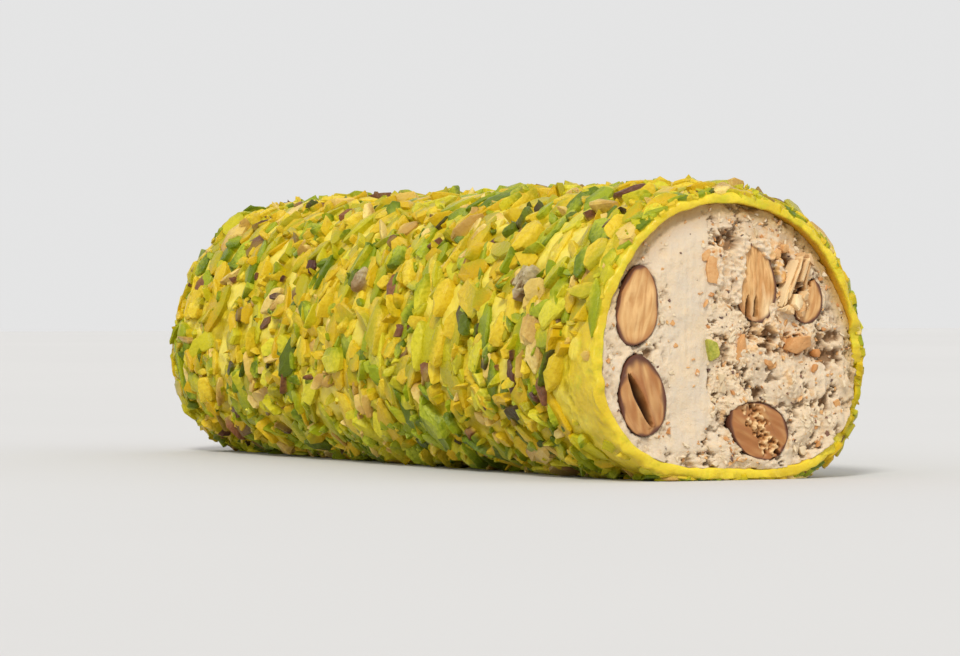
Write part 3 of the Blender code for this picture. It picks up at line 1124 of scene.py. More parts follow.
    def lay(
        self,
        shells: dict[ChipKind, Shell],
        layer: tuple[Fragments, np.ndarray, np.ndarray],
        draw: np.random.Generator,
        sparse: np.random.Generator,
    ) -> None:
        """Presses one layer of chips into the wrap, each chip into the piece of its kind.

        Args:
            shells: The piece of each kind.
            layer: The chips, their angles round the roll and their places along it.
            draw: Random draws for their kinds and tones.
            sparse: Random draws that leave chips out where the coat is thin.
        """
        chips, angle, along = layer
        round_roll, along_roll, out, flank, foot = chips.local()
        angles = angle[:, None] + round_roll / self.form.filling_radius
        uneven = draw.uniform(*self.overhang, len(angle))
        limit = self.form.half - uneven - np.abs(along_roll).max(axis=1)
        middles = np.clip(along, -limit, limit)
        middles = middles + self.form.set_back(angle, self.form.half + middles) * (middles < 0)
        places = middles[:, None] + along_roll
        points = self.form.on_wrap(angles, places, self.lifted(out, places), self.lowest)
        kinds = self.drawn_kinds(draw, chips, angle)
        tone = np.broadcast_to(draw.uniform(0, 1, len(angle))[:, None], out.shape)
        shown = self.covered(angle, along, chips.width)
        if chips.root == self.small_root:
            strays = self.bare_share * (chips.length < self.bare_longest)
            shown |= draw.uniform(0, 1, len(angle)) < strays
            shown &= self.clear_of_placed(angle, along)
            shown &= sparse.uniform(0, 1, len(angle)) > self.patch_bare * self.thin(angle, along)
        for number, kind in enumerate(ChipKind):
            chosen = shown & (kinds == number)
            chips.add_to(shells[kind], points, chosen, tone=tone, flank=flank, foot=foot)

    def place(self, shell: Shell, placed: PlacedChip, seed: int) -> None:
        """Presses in one chip that the photo shows plainly.

        Args:
            shell: The piece of its kind.
            placed: The chip.
            seed: Seed of its draws.
        """
        chip = placed.fragment(seed)
        round_roll, along_roll, out, flank, foot = chip.local()
        angles = math.radians(placed.angle) + round_roll / self.form.filling_radius
        places = placed.along + along_roll
        points = self.form.on_wrap(angles, places, self.lifted(out, places), self.lowest)
        marks = {"tone": np.full_like(out, 0.3), "flank": flank, "foot": foot}
        chip.add_to(shell, points, np.ones(1, dtype=bool), **marks)

    def build(self) -> None:
        """Makes one piece for each kind of chip."""
        layers = [self.solid_chips()]
        for order, sizes in enumerate(self.small_sizes):
            layers.append(self.small_chips(*sizes, self.small_seed + 10 * order))
        shells = {kind: Shell() for kind in ChipKind}
        draw = np.random.default_rng(self.small_seed)
        sparse = np.random.default_rng(self.small_seed + 1)
        for layer in layers:
            self.lay(shells, layer, draw, sparse)
        for number, placed in enumerate(PLACED_CHIPS):
            self.place(shells[placed.kind], placed, self.placed_seed + number)
        for kind, shell in shells.items():
            name, _, light, deep, rim = kind.value
            finish = PistachioFlesh(name=name.replace("_", " "), light=light, deep=deep, rim=rim)
            settle(shell.build(name, finish.make(), 32.0), "pistachio_wrap", "pistachio_wrap")


@dataclass
class WrapSheet:
    """The yellow lokum sheet round the nougat, lumpy under the chips and smooth along the cut."""

    form: RollForm
    coat: ChipCoat
    around: int = 384
    cell: float = 1.1
    fine_cell: float = 0.18
    fine_length: float = 9.0
    lump: float = 0.55
    lump_spans: tuple = (2.6, 0.9)
    edge_fade: float = 3.0
    under_floor: float = 0.3
    # The lokum swells out by this much where the coat is thin.
    swollen: float = 0.4
    # Chips are pressed into it from this far behind the cut, over this length.
    press_from: float = 0.8
    press_fade: float = 2.5
    blotch_span: float = 1.9
    # The cut edge is rounded, uneven and ragged, and the inside wall is painted golden shade a little
    # deeper in.
    lip_radius: float = 0.26
    lip_uneven: float = 0.22
    lip_depth: float = 1.0
    ragged: tuple = ((0.4, 2.2, 4.4), (0.12, 0.8, 1.4))
    wall_shade_depth: float = 1.4
    wall_shade_share: float = 0.95
    inner_levels: tuple = (0.25, 0.8, 1.6, 4.0)

    def places_along(self) -> np.ndarray:
        """Spaces the rings, close together near the cuts, where the sheet shows.

        Returns:
            Places along the roll.
        """
        half = self.form.half
        near = np.arange(0, self.fine_length, self.fine_cell)
        middle = np.arange(self.fine_length, 2 * half - self.fine_length, self.cell)
        far = 2 * half - near[::-1]
        return np.concatenate((near, middle, far)) - half

    def rounding(self, away: float) -> float:
        """How much the sheet's outer edge is rounded off at a distance from the cut."""
        inside = max(0.0, self.lip_radius - away)
        return self.lip_radius - math.sqrt(self.lip_radius**2 - inside**2)

    def lumps(self, angle: np.ndarray, along: np.ndarray, points: np.ndarray) -> np.ndarray:
        """Works out how far the sheet bulges between the chips.

        Args:
            angle: Angles round the roll.
            along: Places along it.
            points: The same places on the smooth sheet.

        Returns:
            Bulges in millimetres.
        """
        covered = self.coat.covered(angle, along, np.zeros(1)).astype(float)
        to_cut = smooth_step((self.form.half - np.abs(along)) / self.edge_fade)
        strength = self.lump * (0.25 + 0.75 * to_cut * covered)
        wavy = 0.75 * noise_at(points, 4.0, 5.2) + 0.35 * noise_at(points, 1.3, 2.9)
        large, small = self.lump_spans
        lumpy = noise_at(points, large, 3.1) + 0.5 * noise_at(points, small, 8.4)
        return strength * lumpy + (1 - to_cut) * wavy

    def frayed(self, angle: np.ndarray) -> np.ndarray:
        """Works out how far the cut edge wanders along the roll.

        Args:
            angle: Angles round the roll.

        Returns:
            Shifts along the roll in millimetres.
        """
        shift = self.form.rim_wave(angle)
        for height, span, seed in self.ragged:
            shift = shift + height * noise_at(self.form.circle(angle), span, seed)
        return shift

    def outer_ring(self, shell: Shell, angle: np.ndarray, along: float) -> np.ndarray:
        """Adds one ring of the sheet's outside.

        Args:
            shell: The sheet.
            angle: Angles round the roll.
            along: The ring's place along it.

        Returns:
            The ring's vertex numbers.
        """
        form = self.form
        to_cut = form.half - abs(along)
        place = np.full_like(angle, along)
        if to_cut < self.fine_length:
            place = place + self.frayed(angle) * (1 - to_cut / self.fine_length)
        if along < 0:
            place = place + form.set_back(angle, form.half + along)
        smooth = form.on_wrap(angle, place, 0.0, 0.0)
        lumps = self.lumps(angle, place, smooth)
        inward = smooth_step((to_cut - self.press_from) / self.press_fade)
        thin = self.coat.thin(angle, place)
        coated = self.coat.covered(angle, place, np.zeros(1)) * inward * (1 - 0.85 * thin)
        # Painted shade in the dents between lumps, where chips press in; the blotches add random mottling
        # on top.
        pressed = coated * smooth_step(0.62 - 1.8 * lumps / self.lump)
        clouding = 0.25 + 0.5 * inward * (coated > 0)
        blotches = clouding * smooth_step(0.1 + 2.6 * noise_at(smooth, self.blotch_span, 7.7))
        pressed = np.maximum(pressed, blotches)
        rise = lumps - self.rounding(to_cut) + self.swollen * thin
        outer = form.on_wrap(angle, place, rise, self.under_floor)
        # The bare patches where the coat is thin take the painted sheen.
        return shell.add(outer, pressed=pressed * (1 - 0.8 * thin), inner=0.0, moist=thin)

    def inner_ring(
        self, shell: Shell, angle: np.ndarray, side: int, inset: float, level: float
    ) -> np.ndarray:
        """Adds one ring of the sheet's inside.

        Args:
            shell: The sheet.
            angle: Angles round the roll.
            side: Which cut it is near.
            inset: How far it lies inside the filling's outline; less than 0 is on the cut edge.
            level: Its depth below the cut.

        Returns:
            The ring's vertex numbers.
        """
        form = self.form
        at_lip = level < self.lip_depth
        dents = np.clip(0.4 + 1.6 * noise_at(form.circle(angle), 1.8, 3.3), 0, 1)
        radius = form.outline(angle) - inset - self.lip_uneven * dents * at_lip
        along = side * (form.half - level) + self.frayed(angle) * at_lip
        if side == FRONT:
            along = along + form.set_back(angle, level)
        wall = form.section_point(angle, radius, along, form.inner_floor)
        # Painted golden shade on the inside wall, full from this depth in.
        inner_wall_shade = float(smooth_step(level / self.wall_shade_depth)) * self.wall_shade_share
        return shell.add(wall, pressed=0.0, inner=inner_wall_shade, moist=0.0)

    def build(self) -> None:
        """Makes the sheet as one closed tube."""
        angle = np.linspace(0, 2 * math.pi, self.around, endpoint=False)
        shell = Shell()
        rings = [self.outer_ring(shell, angle, along) for along in self.places_along()]
        lip = self.lip_radius
        levels = self.inner_levels + (self.form.half - 1,)
        rows = ((-lip, 0.0), (-0.4 * lip, 0.06)) + tuple((0.0, level) for level in levels)
        at_back = [self.inner_ring(shell, angle, BACK, *row) for row in rows]
        at_front = [self.inner_ring(shell, angle, FRONT, *row) for row in rows]
        rings = at_front[::-1] + rings + at_back
        for first, second in zip(rings, rings[1:] + rings[:1]):
            shell.bridge(first, second)
        piece = shell.build("lokum_sheet", LokumSheet().make(), 50.0)
        settle(piece, "pistachio_wrap", "pistachio_wrap")


class NutStyle(Enum):
    """How the knife left an almond."""

    WHOLE = "whole"
    SPLIT = "split"
    FIBROUS = "fibrous"
    CRUMBLED = "crumbled"
    BROKEN = "broken"


@dataclass
class CutAlmond:
    """An almond cut across at one end of the roll, in millimetres and degrees."""

    form: RollForm
    node: str
    across: float
    up: float
    width: float
    height: float
    lean: float
    depth: float
    style: NutStyle
    side: int = FRONT
    recess: float = 0.3
    proud: float = 0.35
    taper: float = 0.16
    around: int = 120
    rings: int = 36
    skin_width: float = 0.42
    # Middle of the split across and up, its half width and half height, and its lean.
    split_place: tuple = (-0.58, -0.8, 0.78, 4.9, 15.0)
    split_depth: float = 1.9
    slots: tuple = ((-1.8, 0.36), (-0.35, 0.3))
    slot_span: tuple = (-5.6, -2.0)
    slot_depth: float = 1.5
    crumble_towards: float = 25.0
    crumble_band: tuple = (-0.9, 2.2)
    skin_towards: float = 60.0
    skin_lean: float = 0.0
    # Rings of the body behind the face: share of the depth, and of the outline.
    body: tuple = ((0.03, 1.0), (0.4, 0.93), (0.72, 0.7), (0.93, 0.37))
    splinters: tuple = (
        (Cut.SLIVER, 10.1, 9.9, 0.9, 7.8, -21, 1.5),
        (Cut.SHARD, 10.9, 10.5, 1.0, 6.6, -18, 1.8),
        (Cut.SLIVER, 11.6, 12.4, 0.8, 4.2, -25, 1.5),
        (Cut.SLIVER, 9.4, 7.2, 0.8, 4.0, -14, 1.3),
        (Cut.SHARD, 12.5, 10.9, 1.2, 5.0, -14, 1.6),
        (Cut.SLIVER, 13.3, 10.3, 0.8, 3.8, -8, 1.2),
        (Cut.WEDGE, 11.5, 6.2, 2.3, 2.8, 20, 1.5),
        (Cut.SHARD, 12.7, 7.2, 1.2, 1.7, -20, 1.7),
        (Cut.CRUMB, 14.4, 13.0, 1.0, 2.4, 32, 0.6),
        (Cut.WEDGE, 9.2, 5.2, 1.0, 1.9, -52, 0.9),
        (Cut.CRUMB, 10.4, 4.7, 1.2, 1.4, 50, 1.1),
        (Cut.CRUMB, 12.4, 4.2, 1.1, 1.3, 10, 1.1),
    )

    def turned(self, x: np.ndarray, z: np.ndarray) -> tuple[np.ndarray, np.ndarray]:
        """Turns places in the nut's own outline to places on the cut.

        Args:
            x: Places across the nut.
            z: Places up the nut.

        Returns:
            Places across and up from the roll's axis.
        """
        lean = math.radians(self.lean)
        return (
            self.across + x * math.cos(lean) - z * math.sin(lean),
            self.up + x * math.sin(lean) + z * math.cos(lean),
        )

    def share(self, across: np.ndarray, up: np.ndarray) -> np.ndarray:
        """Tells how far out from the nut's middle places on the cut are.

        Args:
            across: Places across from the roll's axis.
            up: Places up from it.

        Returns:
            0 at the nut's middle and 1 at its outline.
        """
        lean = math.radians(self.lean)
        x = (across - self.across) * math.cos(lean) + (up - self.up) * math.sin(lean)
        z = -(across - self.across) * math.sin(lean) + (up - self.up) * math.cos(lean)
        tall = z / (self.height / 2)
        wide = x / (self.width / 2 * (1 - self.taper * np.clip(tall, -1, 1)))
        return np.hypot(wide, tall)

    def wobble(self, turn: np.ndarray) -> np.ndarray:
        """Gives the outline small swells, so that no two nuts are alike.

        Args:
            turn: Angles round the nut.

        Returns:
            Factors for the distance from its middle.
        """
        seed = self.across * 0.37 + self.up * 0.11
        circle = np.stack((np.cos(turn), np.sin(turn), np.full_like(turn, seed)), axis=-1)
        return 1 + 0.07 * noise_at(circle, 0.9)

    def skin_edge(self, turn: np.ndarray) -> np.ndarray:
        """Works out how wide the skin shows round the nut.

        Args:
            turn: Angles round the nut.

        Returns:
            Widths as shares of the nut's half width.
        """
        circle = np.stack((np.cos(turn), np.sin(turn), np.full_like(turn, self.up)), axis=-1)
        leaning = self.skin_lean * np.cos(turn - math.radians(self.skin_towards))
        uneven = np.clip(0.8 + leaning + 1.3 * noise_at(circle, 0.5), 0.06, None)
        return self.skin_width / (self.width / 2) * uneven

    def relief(self, x: np.ndarray, z: np.ndarray, share: float) -> Marks:
        """Height of the cut face and its marks.

        Args:
            x: Places across the nut.
            z: Places up the nut.
            share: How far out the places are.

        Returns:
            By name, the height out of the face in millimetres, and from 0 to 1 how deep a hollow is and
            how dark its painted shade is, how toasted the flesh is and how freshly broken it is.
        """
        points = np.stack((x, z, np.full_like(x, self.across)), axis=-1)
        grain = np.stack((x, z * 0.25, np.full_like(x, self.up)), axis=-1)
        height = 0.15 * (1 - share**2) + 0.12 * noise_at(grain, 0.9) + 0.2 * noise_at(points, 2.6)
        toast = np.full_like(x, float(smooth_step((share - 0.72) / 0.28)) * 0.8)
        face = {"height": height, "hollow": np.zeros_like(x), "toast": toast, "fresh": np.zeros_like(x)}
        if self.style is NutStyle.SPLIT:
            self.open_split(face, x, z, grain)
        elif self.style is NutStyle.FIBROUS:
            self.open_slots(face, x, z, grain)
        elif self.style in (NutStyle.CRUMBLED, NutStyle.BROKEN):
            self.crumble(face, x, z, points, grain)
        return face

    def open_split(self, face: Marks, x: np.ndarray, z: np.ndarray, grain: np.ndarray) -> None:
        """Parts the nut's halves by one long split with raised lips.

        Args:
            face: The face's height and marks, which are changed.
            x: Places across the nut.
            z: Places up the nut.
            grain: The same places, drawn out along the grain.
        """
        middle_x, middle_z, half_width, half_height, lean = self.split_place
        turn = math.radians(lean)
        wide = (x - middle_x) * math.cos(turn) + (z - middle_z) * math.sin(turn)
        tall = (z - middle_z) * math.cos(turn) - (x - middle_x) * math.sin(turn)
        beside = np.abs(tall) < half_height
        opening = half_width * np.clip(1 - (tall / half_height) ** 2, 0, None) ** 0.7
        inside = smooth_step(1.3 * (1.15 - np.abs(wide) / np.maximum(opening, 0.04)))
        # The split is painted near-black as shade.
        face["hollow"] = inside * beside
        lip = np.exp(-(((np.abs(wide) - opening - 0.3) / 0.35) ** 2)) * beside
        face["height"] = face["height"] + 0.25 * lip - self.split_depth * face["hollow"]
        inner_wall = np.exp(-(((wide - opening - 0.25) / 0.5) ** 2)) * beside
        toasted = 0.6 + 0.6 * noise_at(grain, 1.0) + 0.3 * inner_wall
        face["toast"] = np.maximum(face["toast"], toasted)

    def open_slots(self, face: Marks, x: np.ndarray, z: np.ndarray, grain: np.ndarray) -> None:
        """Draws the flesh out in fibres, with narrow slots between them low down.

        Args:
            face: The face's height and marks, which are changed.
            x: Places across the nut.
            z: Places up the nut.
            grain: The same places, drawn out along the grain.
        """
        low, high = self.slot_span
        hollow = face["hollow"]
        for place, half_width in self.slots:
            share_down = (high - z) / (high - low)
            opening = half_width * np.clip(share_down * 2.5, 0.0, 1.0) + 0.01
            slot = smooth_step(1.4 - np.abs(x - place - 0.1 * z - 0.4) / opening)
            hollow = np.maximum(hollow, slot * (z > low) * (z < high))
        face["height"] = face["height"] - self.slot_depth * hollow + 0.3 * noise_at(grain, 0.45)
        low_share = smooth_step((-z - 1.0) / 4.0)
        face["toast"] = 0.4 * face["toast"] + 0.5 * low_share * smooth_step((0.6 - x) / 1.5)
        pale_side = 0.8 * low_share * smooth_step((x - 0.2) / 1.8)
        face["fresh"] = pale_side + 0.3 * smooth_step(noise_at(grain, 1.2) * 3)
        # The slots are painted dark as shade.
        face["hollow"] = 0.62 * hollow

    def crumble(
        self, face: Marks, x: np.ndarray, z: np.ndarray, points: np.ndarray, grain: np.ndarray
    ) -> None:
        """Breaks a band of the face into crumbs and lowers what lies past it.

        Args:
            face: The face's height and marks, which are changed.
            x: Places across the nut.
            z: Places up the nut.
            points: The same places as points.
            grain: The same places, drawn out along the grain.
        """
        whole = self.style is NutStyle.CRUMBLED
        turn = math.radians(self.crumble_towards - self.lean)
        reach = x * math.cos(turn) + z * math.sin(turn)
        start, end = self.crumble_band
        ragged = 2.0 * noise_at(points, 1.6, 3.0) + 0.8 * noise_at(points, 0.6, 3.0)
        crumbled = smooth_step((reach - start + ragged) / 0.7)
        crumbled = crumbled * smooth_step((end - reach + ragged) / 0.7)
        coarse, middling, fine = (noise_at(points, span) for span in (1.5, 0.75, 0.4))
        crumbs = 0.8 * coarse + 0.6 * middling + 0.45 * fine
        lowered = face["height"] - 0.35 * smooth_step((reach - end) / 0.6)
        face["height"] = lowered + crumbled * (1.6 * crumbs - 0.35)
        # Painted shade in the crevices between crumbs.
        face["hollow"] = crumbled * smooth_step(-crumbs * 3.5 - 0.4) * 0.7
        smooth_tone, crumb_tone, freshness = (0.85, 0.8, 0.55) if whole else (0.15, 0.5, 1.0)
        smooth_tone = smooth_tone + 0.5 * noise_at(grain, 0.8)
        toast_here = crumb_tone * smooth_step(0.6 - 2 * crumbs)
        toasted = smooth_tone * (1 - crumbled) + toast_here * crumbled
        face["toast"] = np.maximum(face["toast"], toasted)
        face["fresh"] = freshness * crumbled * smooth_step(3 * crumbs)

    def ring(self, shell: Shell, turn: np.ndarray, scale: float, level: float, on_face: bool) -> np.ndarray:
        """Adds one ring of the nut.

        Args:
            shell: The nut's mesh.
            turn: Angles round the nut.
            scale: Share of the outline.
            level: Depth below the face in millimetres.
            on_face: Whether the cut's relief applies.

        Returns:
            The ring's vertex numbers.
        """
        wobble = self.wobble(turn)
        x = self.width / 2 * scale * (1 - self.taper * np.sin(turn)) * np.cos(turn) * wobble
        z = self.height / 2 * scale * np.sin(turn) * wobble
        found = self.relief(x, z, scale)
        across, up = self.turned(x, z)
        out = self.form.half - self.recess + self.proud - level + found["height"] * on_face
        points = np.stack(
            (self.form.section_shift + across, self.side * out, self.form.axis_height + up), axis=-1
        )
        meridian = x / np.sqrt(np.clip(1 - (2 * z / self.height) ** 2, 0.12, None))
        grain = np.stack((meridian * 0.75, out * 0.5, z * 0.13), axis=-1) + self.across
        edge = self.skin_edge(turn)
        skin = smooth_step((scale - 1 + edge) / edge * 1.3) if on_face else 1.0
        marks = {name: found[name] * on_face for name in ("hollow", "fresh")}
        marks["toast"] = found["toast"]
        return shell.add(points, skin=skin, grain=grain, **marks)

    def build(self, material: bpy.types.Material) -> None:
        """Makes the nut: a face with grain, a skin round it and a body going into the nougat.

        Args:
            material: The almond finish.
        """
        shell = Shell()
        turn = np.linspace(0, 2 * math.pi, self.around, endpoint=False)
        rows = [self.ring(shell, turn, scale, 0.0, True) for scale in np.linspace(0.03, 0.985, self.rings)]
        rows += [self.ring(shell, turn, scale, deep * self.depth, False) for deep, scale in self.body]
        for first, second in zip(rows, rows[1:]):
            shell.bridge(first, second)
        shell.cap(rows[0])
        shell.cap(rows[-1])
        if self.style is NutStyle.BROKEN:
            self.add_splinters(shell)
        settle(shell.build(f"{self.node}_nut", material, 45.0), "roasted_almond", self.node)

    def add_splinters(self, shell: Shell) -> None:
        """Adds the long splinters that broke off beside the nut."""
        for number, place in enumerate(self.splinters):
            splinter = FacePiece(self.form, *place, 40 + number, jitter=0.26, corner_cut=0.06)
            tone = number % 3 / 2
            marks = {"skin": 0.0, "hollow": 0.0, "toast": 0.4 * tone, "fresh": 1 - 0.65 * tone}
            splinter.add_to(shell, grain=True, **marks)


@dataclass
class FacePiece:
    """One piece of nut that lies in the shown cut, in millimetres and degrees."""

    form: RollForm
    cut: Cut
    across: float
    up: float
    width: float
    height: float
    lean: float
    proud: float
    seed: int
    root: float = 1.6
    jitter: float = 0.24
    corner_cut: float = 0.14
    ridge: float = 0.1
    tilts: tuple = (0.2, 0.25)
    grain_pitch: tuple = (0.75, 0.75, 0.22)

    def add_to(self, shell: Shell, grain: bool = False, **marks: float) -> None:
        """Adds the piece to a shell.

        Args:
            shell: The shell.
            grain: Whether its vertices keep their own places as the grain's places.
            **marks: One value for each mark.
        """
        one = np.ones(1)
        fragment = Fragments(
            self.cut,
            self.height * one,
            self.width * one,
            self.proud * one,
            self.root,
            (math.pi / 2 + math.radians(self.lean)) * one,
            one,
            self.tilts[0] * one,
            self.tilts[1] * one,
            self.seed,
            jitter=self.jitter,
            corner_cut=self.corner_cut,
            ridge=self.ridge,
        )
        across, up, out, flank, _ = fragment.local()
        points = np.stack(
            (
                self.form.section_shift + self.across + across,
                -self.form.half - out,
                self.form.axis_height + self.up + up,
            ),
            axis=-1,
        )
        if grain:
            marks["grain"] = points * np.array(self.grain_pitch)
        if "flank" in marks:
            marks["flank"] = flank * marks["flank"]
        every = {
            name: np.broadcast_to(value, points.shape if np.ndim(value) == 3 else points.shape[:2])
            for name, value in marks.items()
        }
        fragment.add_to(shell, points, np.ones(1, dtype=bool), **every)


class CrumbKind(Enum):
    """Kinds of crumb at the cuts: piece name, count at a cut, mean size, light and deep colours."""

    NUT = ("nut_crumbs", 460, 0.6, "#E0B274", "#BC7E44")
    SKIN = ("skin_crumbs", 190, 0.5, "#8E6248", "#5C4640")
    PASTE = ("nougat_crumbs", 460, 0.72, "#E2D0B2", "#D6BF98")


@dataclass
class FaceCrumbs:
    """Chopped nut, shreds of skin and crumbs of nougat, which the knife left on both cuts."""

    nougat: "Nougat"
    seed: int = 61
    bits: tuple = (
        (Cut.SHARD, -4.2, 11.2, 3.0, 4.6, 8, 0.2, 0.3),
        (Cut.WEDGE, -5.4, 13.7, 1.5, 2.2, -30, 0.15, 0.2),
        (Cut.LEAF, 0.9, -1.7, 1.9, 4.8, -14, 0.6, 0.5),
        (Cut.WEDGE, 12.0, -0.9, 2.7, 4.4, -62, 0.9, 0.55),
        (Cut.CRUMB, 15.7, -2.4, 1.2, 1.7, 10, 0.4, 0.9),
        (Cut.CRUMB, 15.2, -4.9, 1.0, 1.5, -30, 0.4, 0.75),
        (Cut.SHARD, 12.3, 4.9, 2.2, 2.4, 20, 1.0, 0.0),
        (Cut.CRUMB, 7.9, 14.0, 1.5, 1.8, 30, 0.6, 0.2),
        (Cut.CRUMB, 9.4, 14.9, 1.2, 1.5, -20, 0.6, 0.1),
        (Cut.LEAF, 6.2, -3.9, 1.4, 2.6, 60, 0.5, 0.6),
    )
    bit_seed: int = 70
    green_bit: tuple = (Cut.SHARD, -4.1, -2.1, 2.4, 3.5, 14, 0.55)
    green_seed: int = 90
    # Crumbs: spread of their size, widths and heights as shares of it, root, tilt and corners' jitter.
    crumb_spread: float = 0.35
    crumb_width: tuple = (0.35, 0.9)
    crumb_height: tuple = (0.15, 0.35)
    crumb_root: float = 0.3
    crumb_tilt: float = 0.4
    crumb_jitter: float = 0.3
    strewn_share: float = 0.93
    smooth_share: float = 0.12
    almond_margin: float = 1.08

    def build(self) -> None:
        """Makes the crumbs of each kind, the larger bits and the one green bit."""
        form = self.nougat.form
        draw = np.random.default_rng(self.seed)
        for kind in CrumbKind:
            name, count, size, light, deep = kind.value
            shell = Shell()
            for side, seed in self.nougat.cut_seeds:
                self.scatter(shell, draw, side, seed, count, size)
            finish = NutCrumb(name=name.replace("_", " "), light=light, deep=deep)
            settle(shell.build(name, finish.make(), 26.0), "nougat", "nougat_filling")
        shell = Shell()
        for number, (*place, tone) in enumerate(self.bits):
            bit = FacePiece(form, *place, self.bit_seed + number, jitter=0.13, corner_cut=0.07)
            bit.add_to(shell, tone=tone)
        finish = NutCrumb(name="roasted nut bits", light="#DDB076", deep="#BC7C40", dusted=(0.66, 0.74))
        settle(shell.build("nut_bits", finish.make(), 60.0), "nougat", "nougat_filling")
        shell = Shell()
        bit = FacePiece(form, *self.green_bit, self.green_seed, corner_cut=0.12)
        bit.add_to(shell, tone=0.35, flank=0.5, foot=0.0)
        colours = {"light": "#CCC258", "deep": "#A8A438", "rim": "#748226"}
        finish = PistachioFlesh(name="green pistachio bit", **colours)
        settle(shell.build("green_bit", finish.make(), 26.0), "nougat", "nougat_filling")

    def scatter(
        self, shell: Shell, draw: np.random.Generator, side: int, seed: float, count: int, size: float
    ) -> None:
        """Strews crumbs of one kind on one cut, mostly where it is torn.

        Args:
            shell: The piece.
            draw: Random draws.
            side: Which cut.
            seed: Seed of the solid's crags there.
            count: How many crumbs are tried.
            size: Their mean size.
        """
        form = self.nougat.form
        angle = draw.uniform(0, 2 * math.pi, count)
        radius = form.outline(angle) * np.sqrt(draw.uniform(0, self.strewn_share, count))
        across, up = radius * np.cos(angle), radius * np.sin(angle)
        surface = self.nougat.surface(across, up, side, seed)
        likely = self.smooth_share + (1 - self.smooth_share) * surface.torn
        kept = draw.uniform(0, 1, count) < likely
        for almond in self.nougat.almonds:
            if almond.side == side:
                kept &= almond.share(across, up) > self.almond_margin
        lengths = size * draw.lognormal(0.0, self.crumb_spread, count)
        crumbs = Fragments(
            Cut.CRUMB,
            lengths,
            lengths * draw.uniform(*self.crumb_width, count),
            lengths * draw.uniform(*self.crumb_height, count),
            self.crumb_root,
            draw.uniform(0, math.pi, count),
            draw.choice((-1.0, 1.0), count),
            draw.normal(0, self.crumb_tilt, count),
            draw.normal(0, self.crumb_tilt, count),
            self.seed + count,
            jitter=self.crumb_jitter,
            corner_cut=0.0,
        )
        u, v, out, _, _ = crumbs.local()
        points = np.stack(
            (
                form.section_shift + across[:, None] + u,
                side * (form.half - surface.depth[:, None] + out),
                form.axis_height + up[:, None] + v,
            ),
            axis=-1,
        )
        tone = np.broadcast_to(draw.uniform(0, 1, count)[:, None], out.shape)
        crumbs.add_to(shell, points, kept, tone=tone)


class CutSurface:
    """Places on one cut with noise over them, and what has been worked out for them so far."""

    def __init__(self, across: np.ndarray, up: np.ndarray, side: int) -> None:
        """Starts with a flat, sound cut.

        Args:
            across: Places across from the roll's axis.
            up: Places up from it.
            side: Which cut it is.
        """
        self.across = across
        self.up = up
        self.side = side
        self.places = np.stack((across, up, np.full_like(across, 10.0 * side)), axis=-1)
        self.coarse, self.middling, self.fine = (self.noise(span, 2.0 + span) for span in (3.1, 1.4, 0.6))
        self.grit = self.noise(0.35, 9.7)
        self.depth = np.zeros_like(across)
        self.torn = np.zeros_like(across)
        self.hollow = np.zeros_like(across)
        self.nutty = np.zeros_like(across)
        self.rim_shade_and_reflection = np.zeros_like(across)

    def noise(self, span: float, seed: float = 0.0) -> np.ndarray:
        """Noise over the cut, with swells of a size in millimetres."""
        return noise_at(self.places, span, seed)

    def marks(self) -> Marks:
        """The marks that the finish reads, by name."""
        return {"torn": self.torn, "hollow": self.hollow, "nutty": self.nutty, "rim_shade_and_reflection": self.rim_shade_and_reflection}


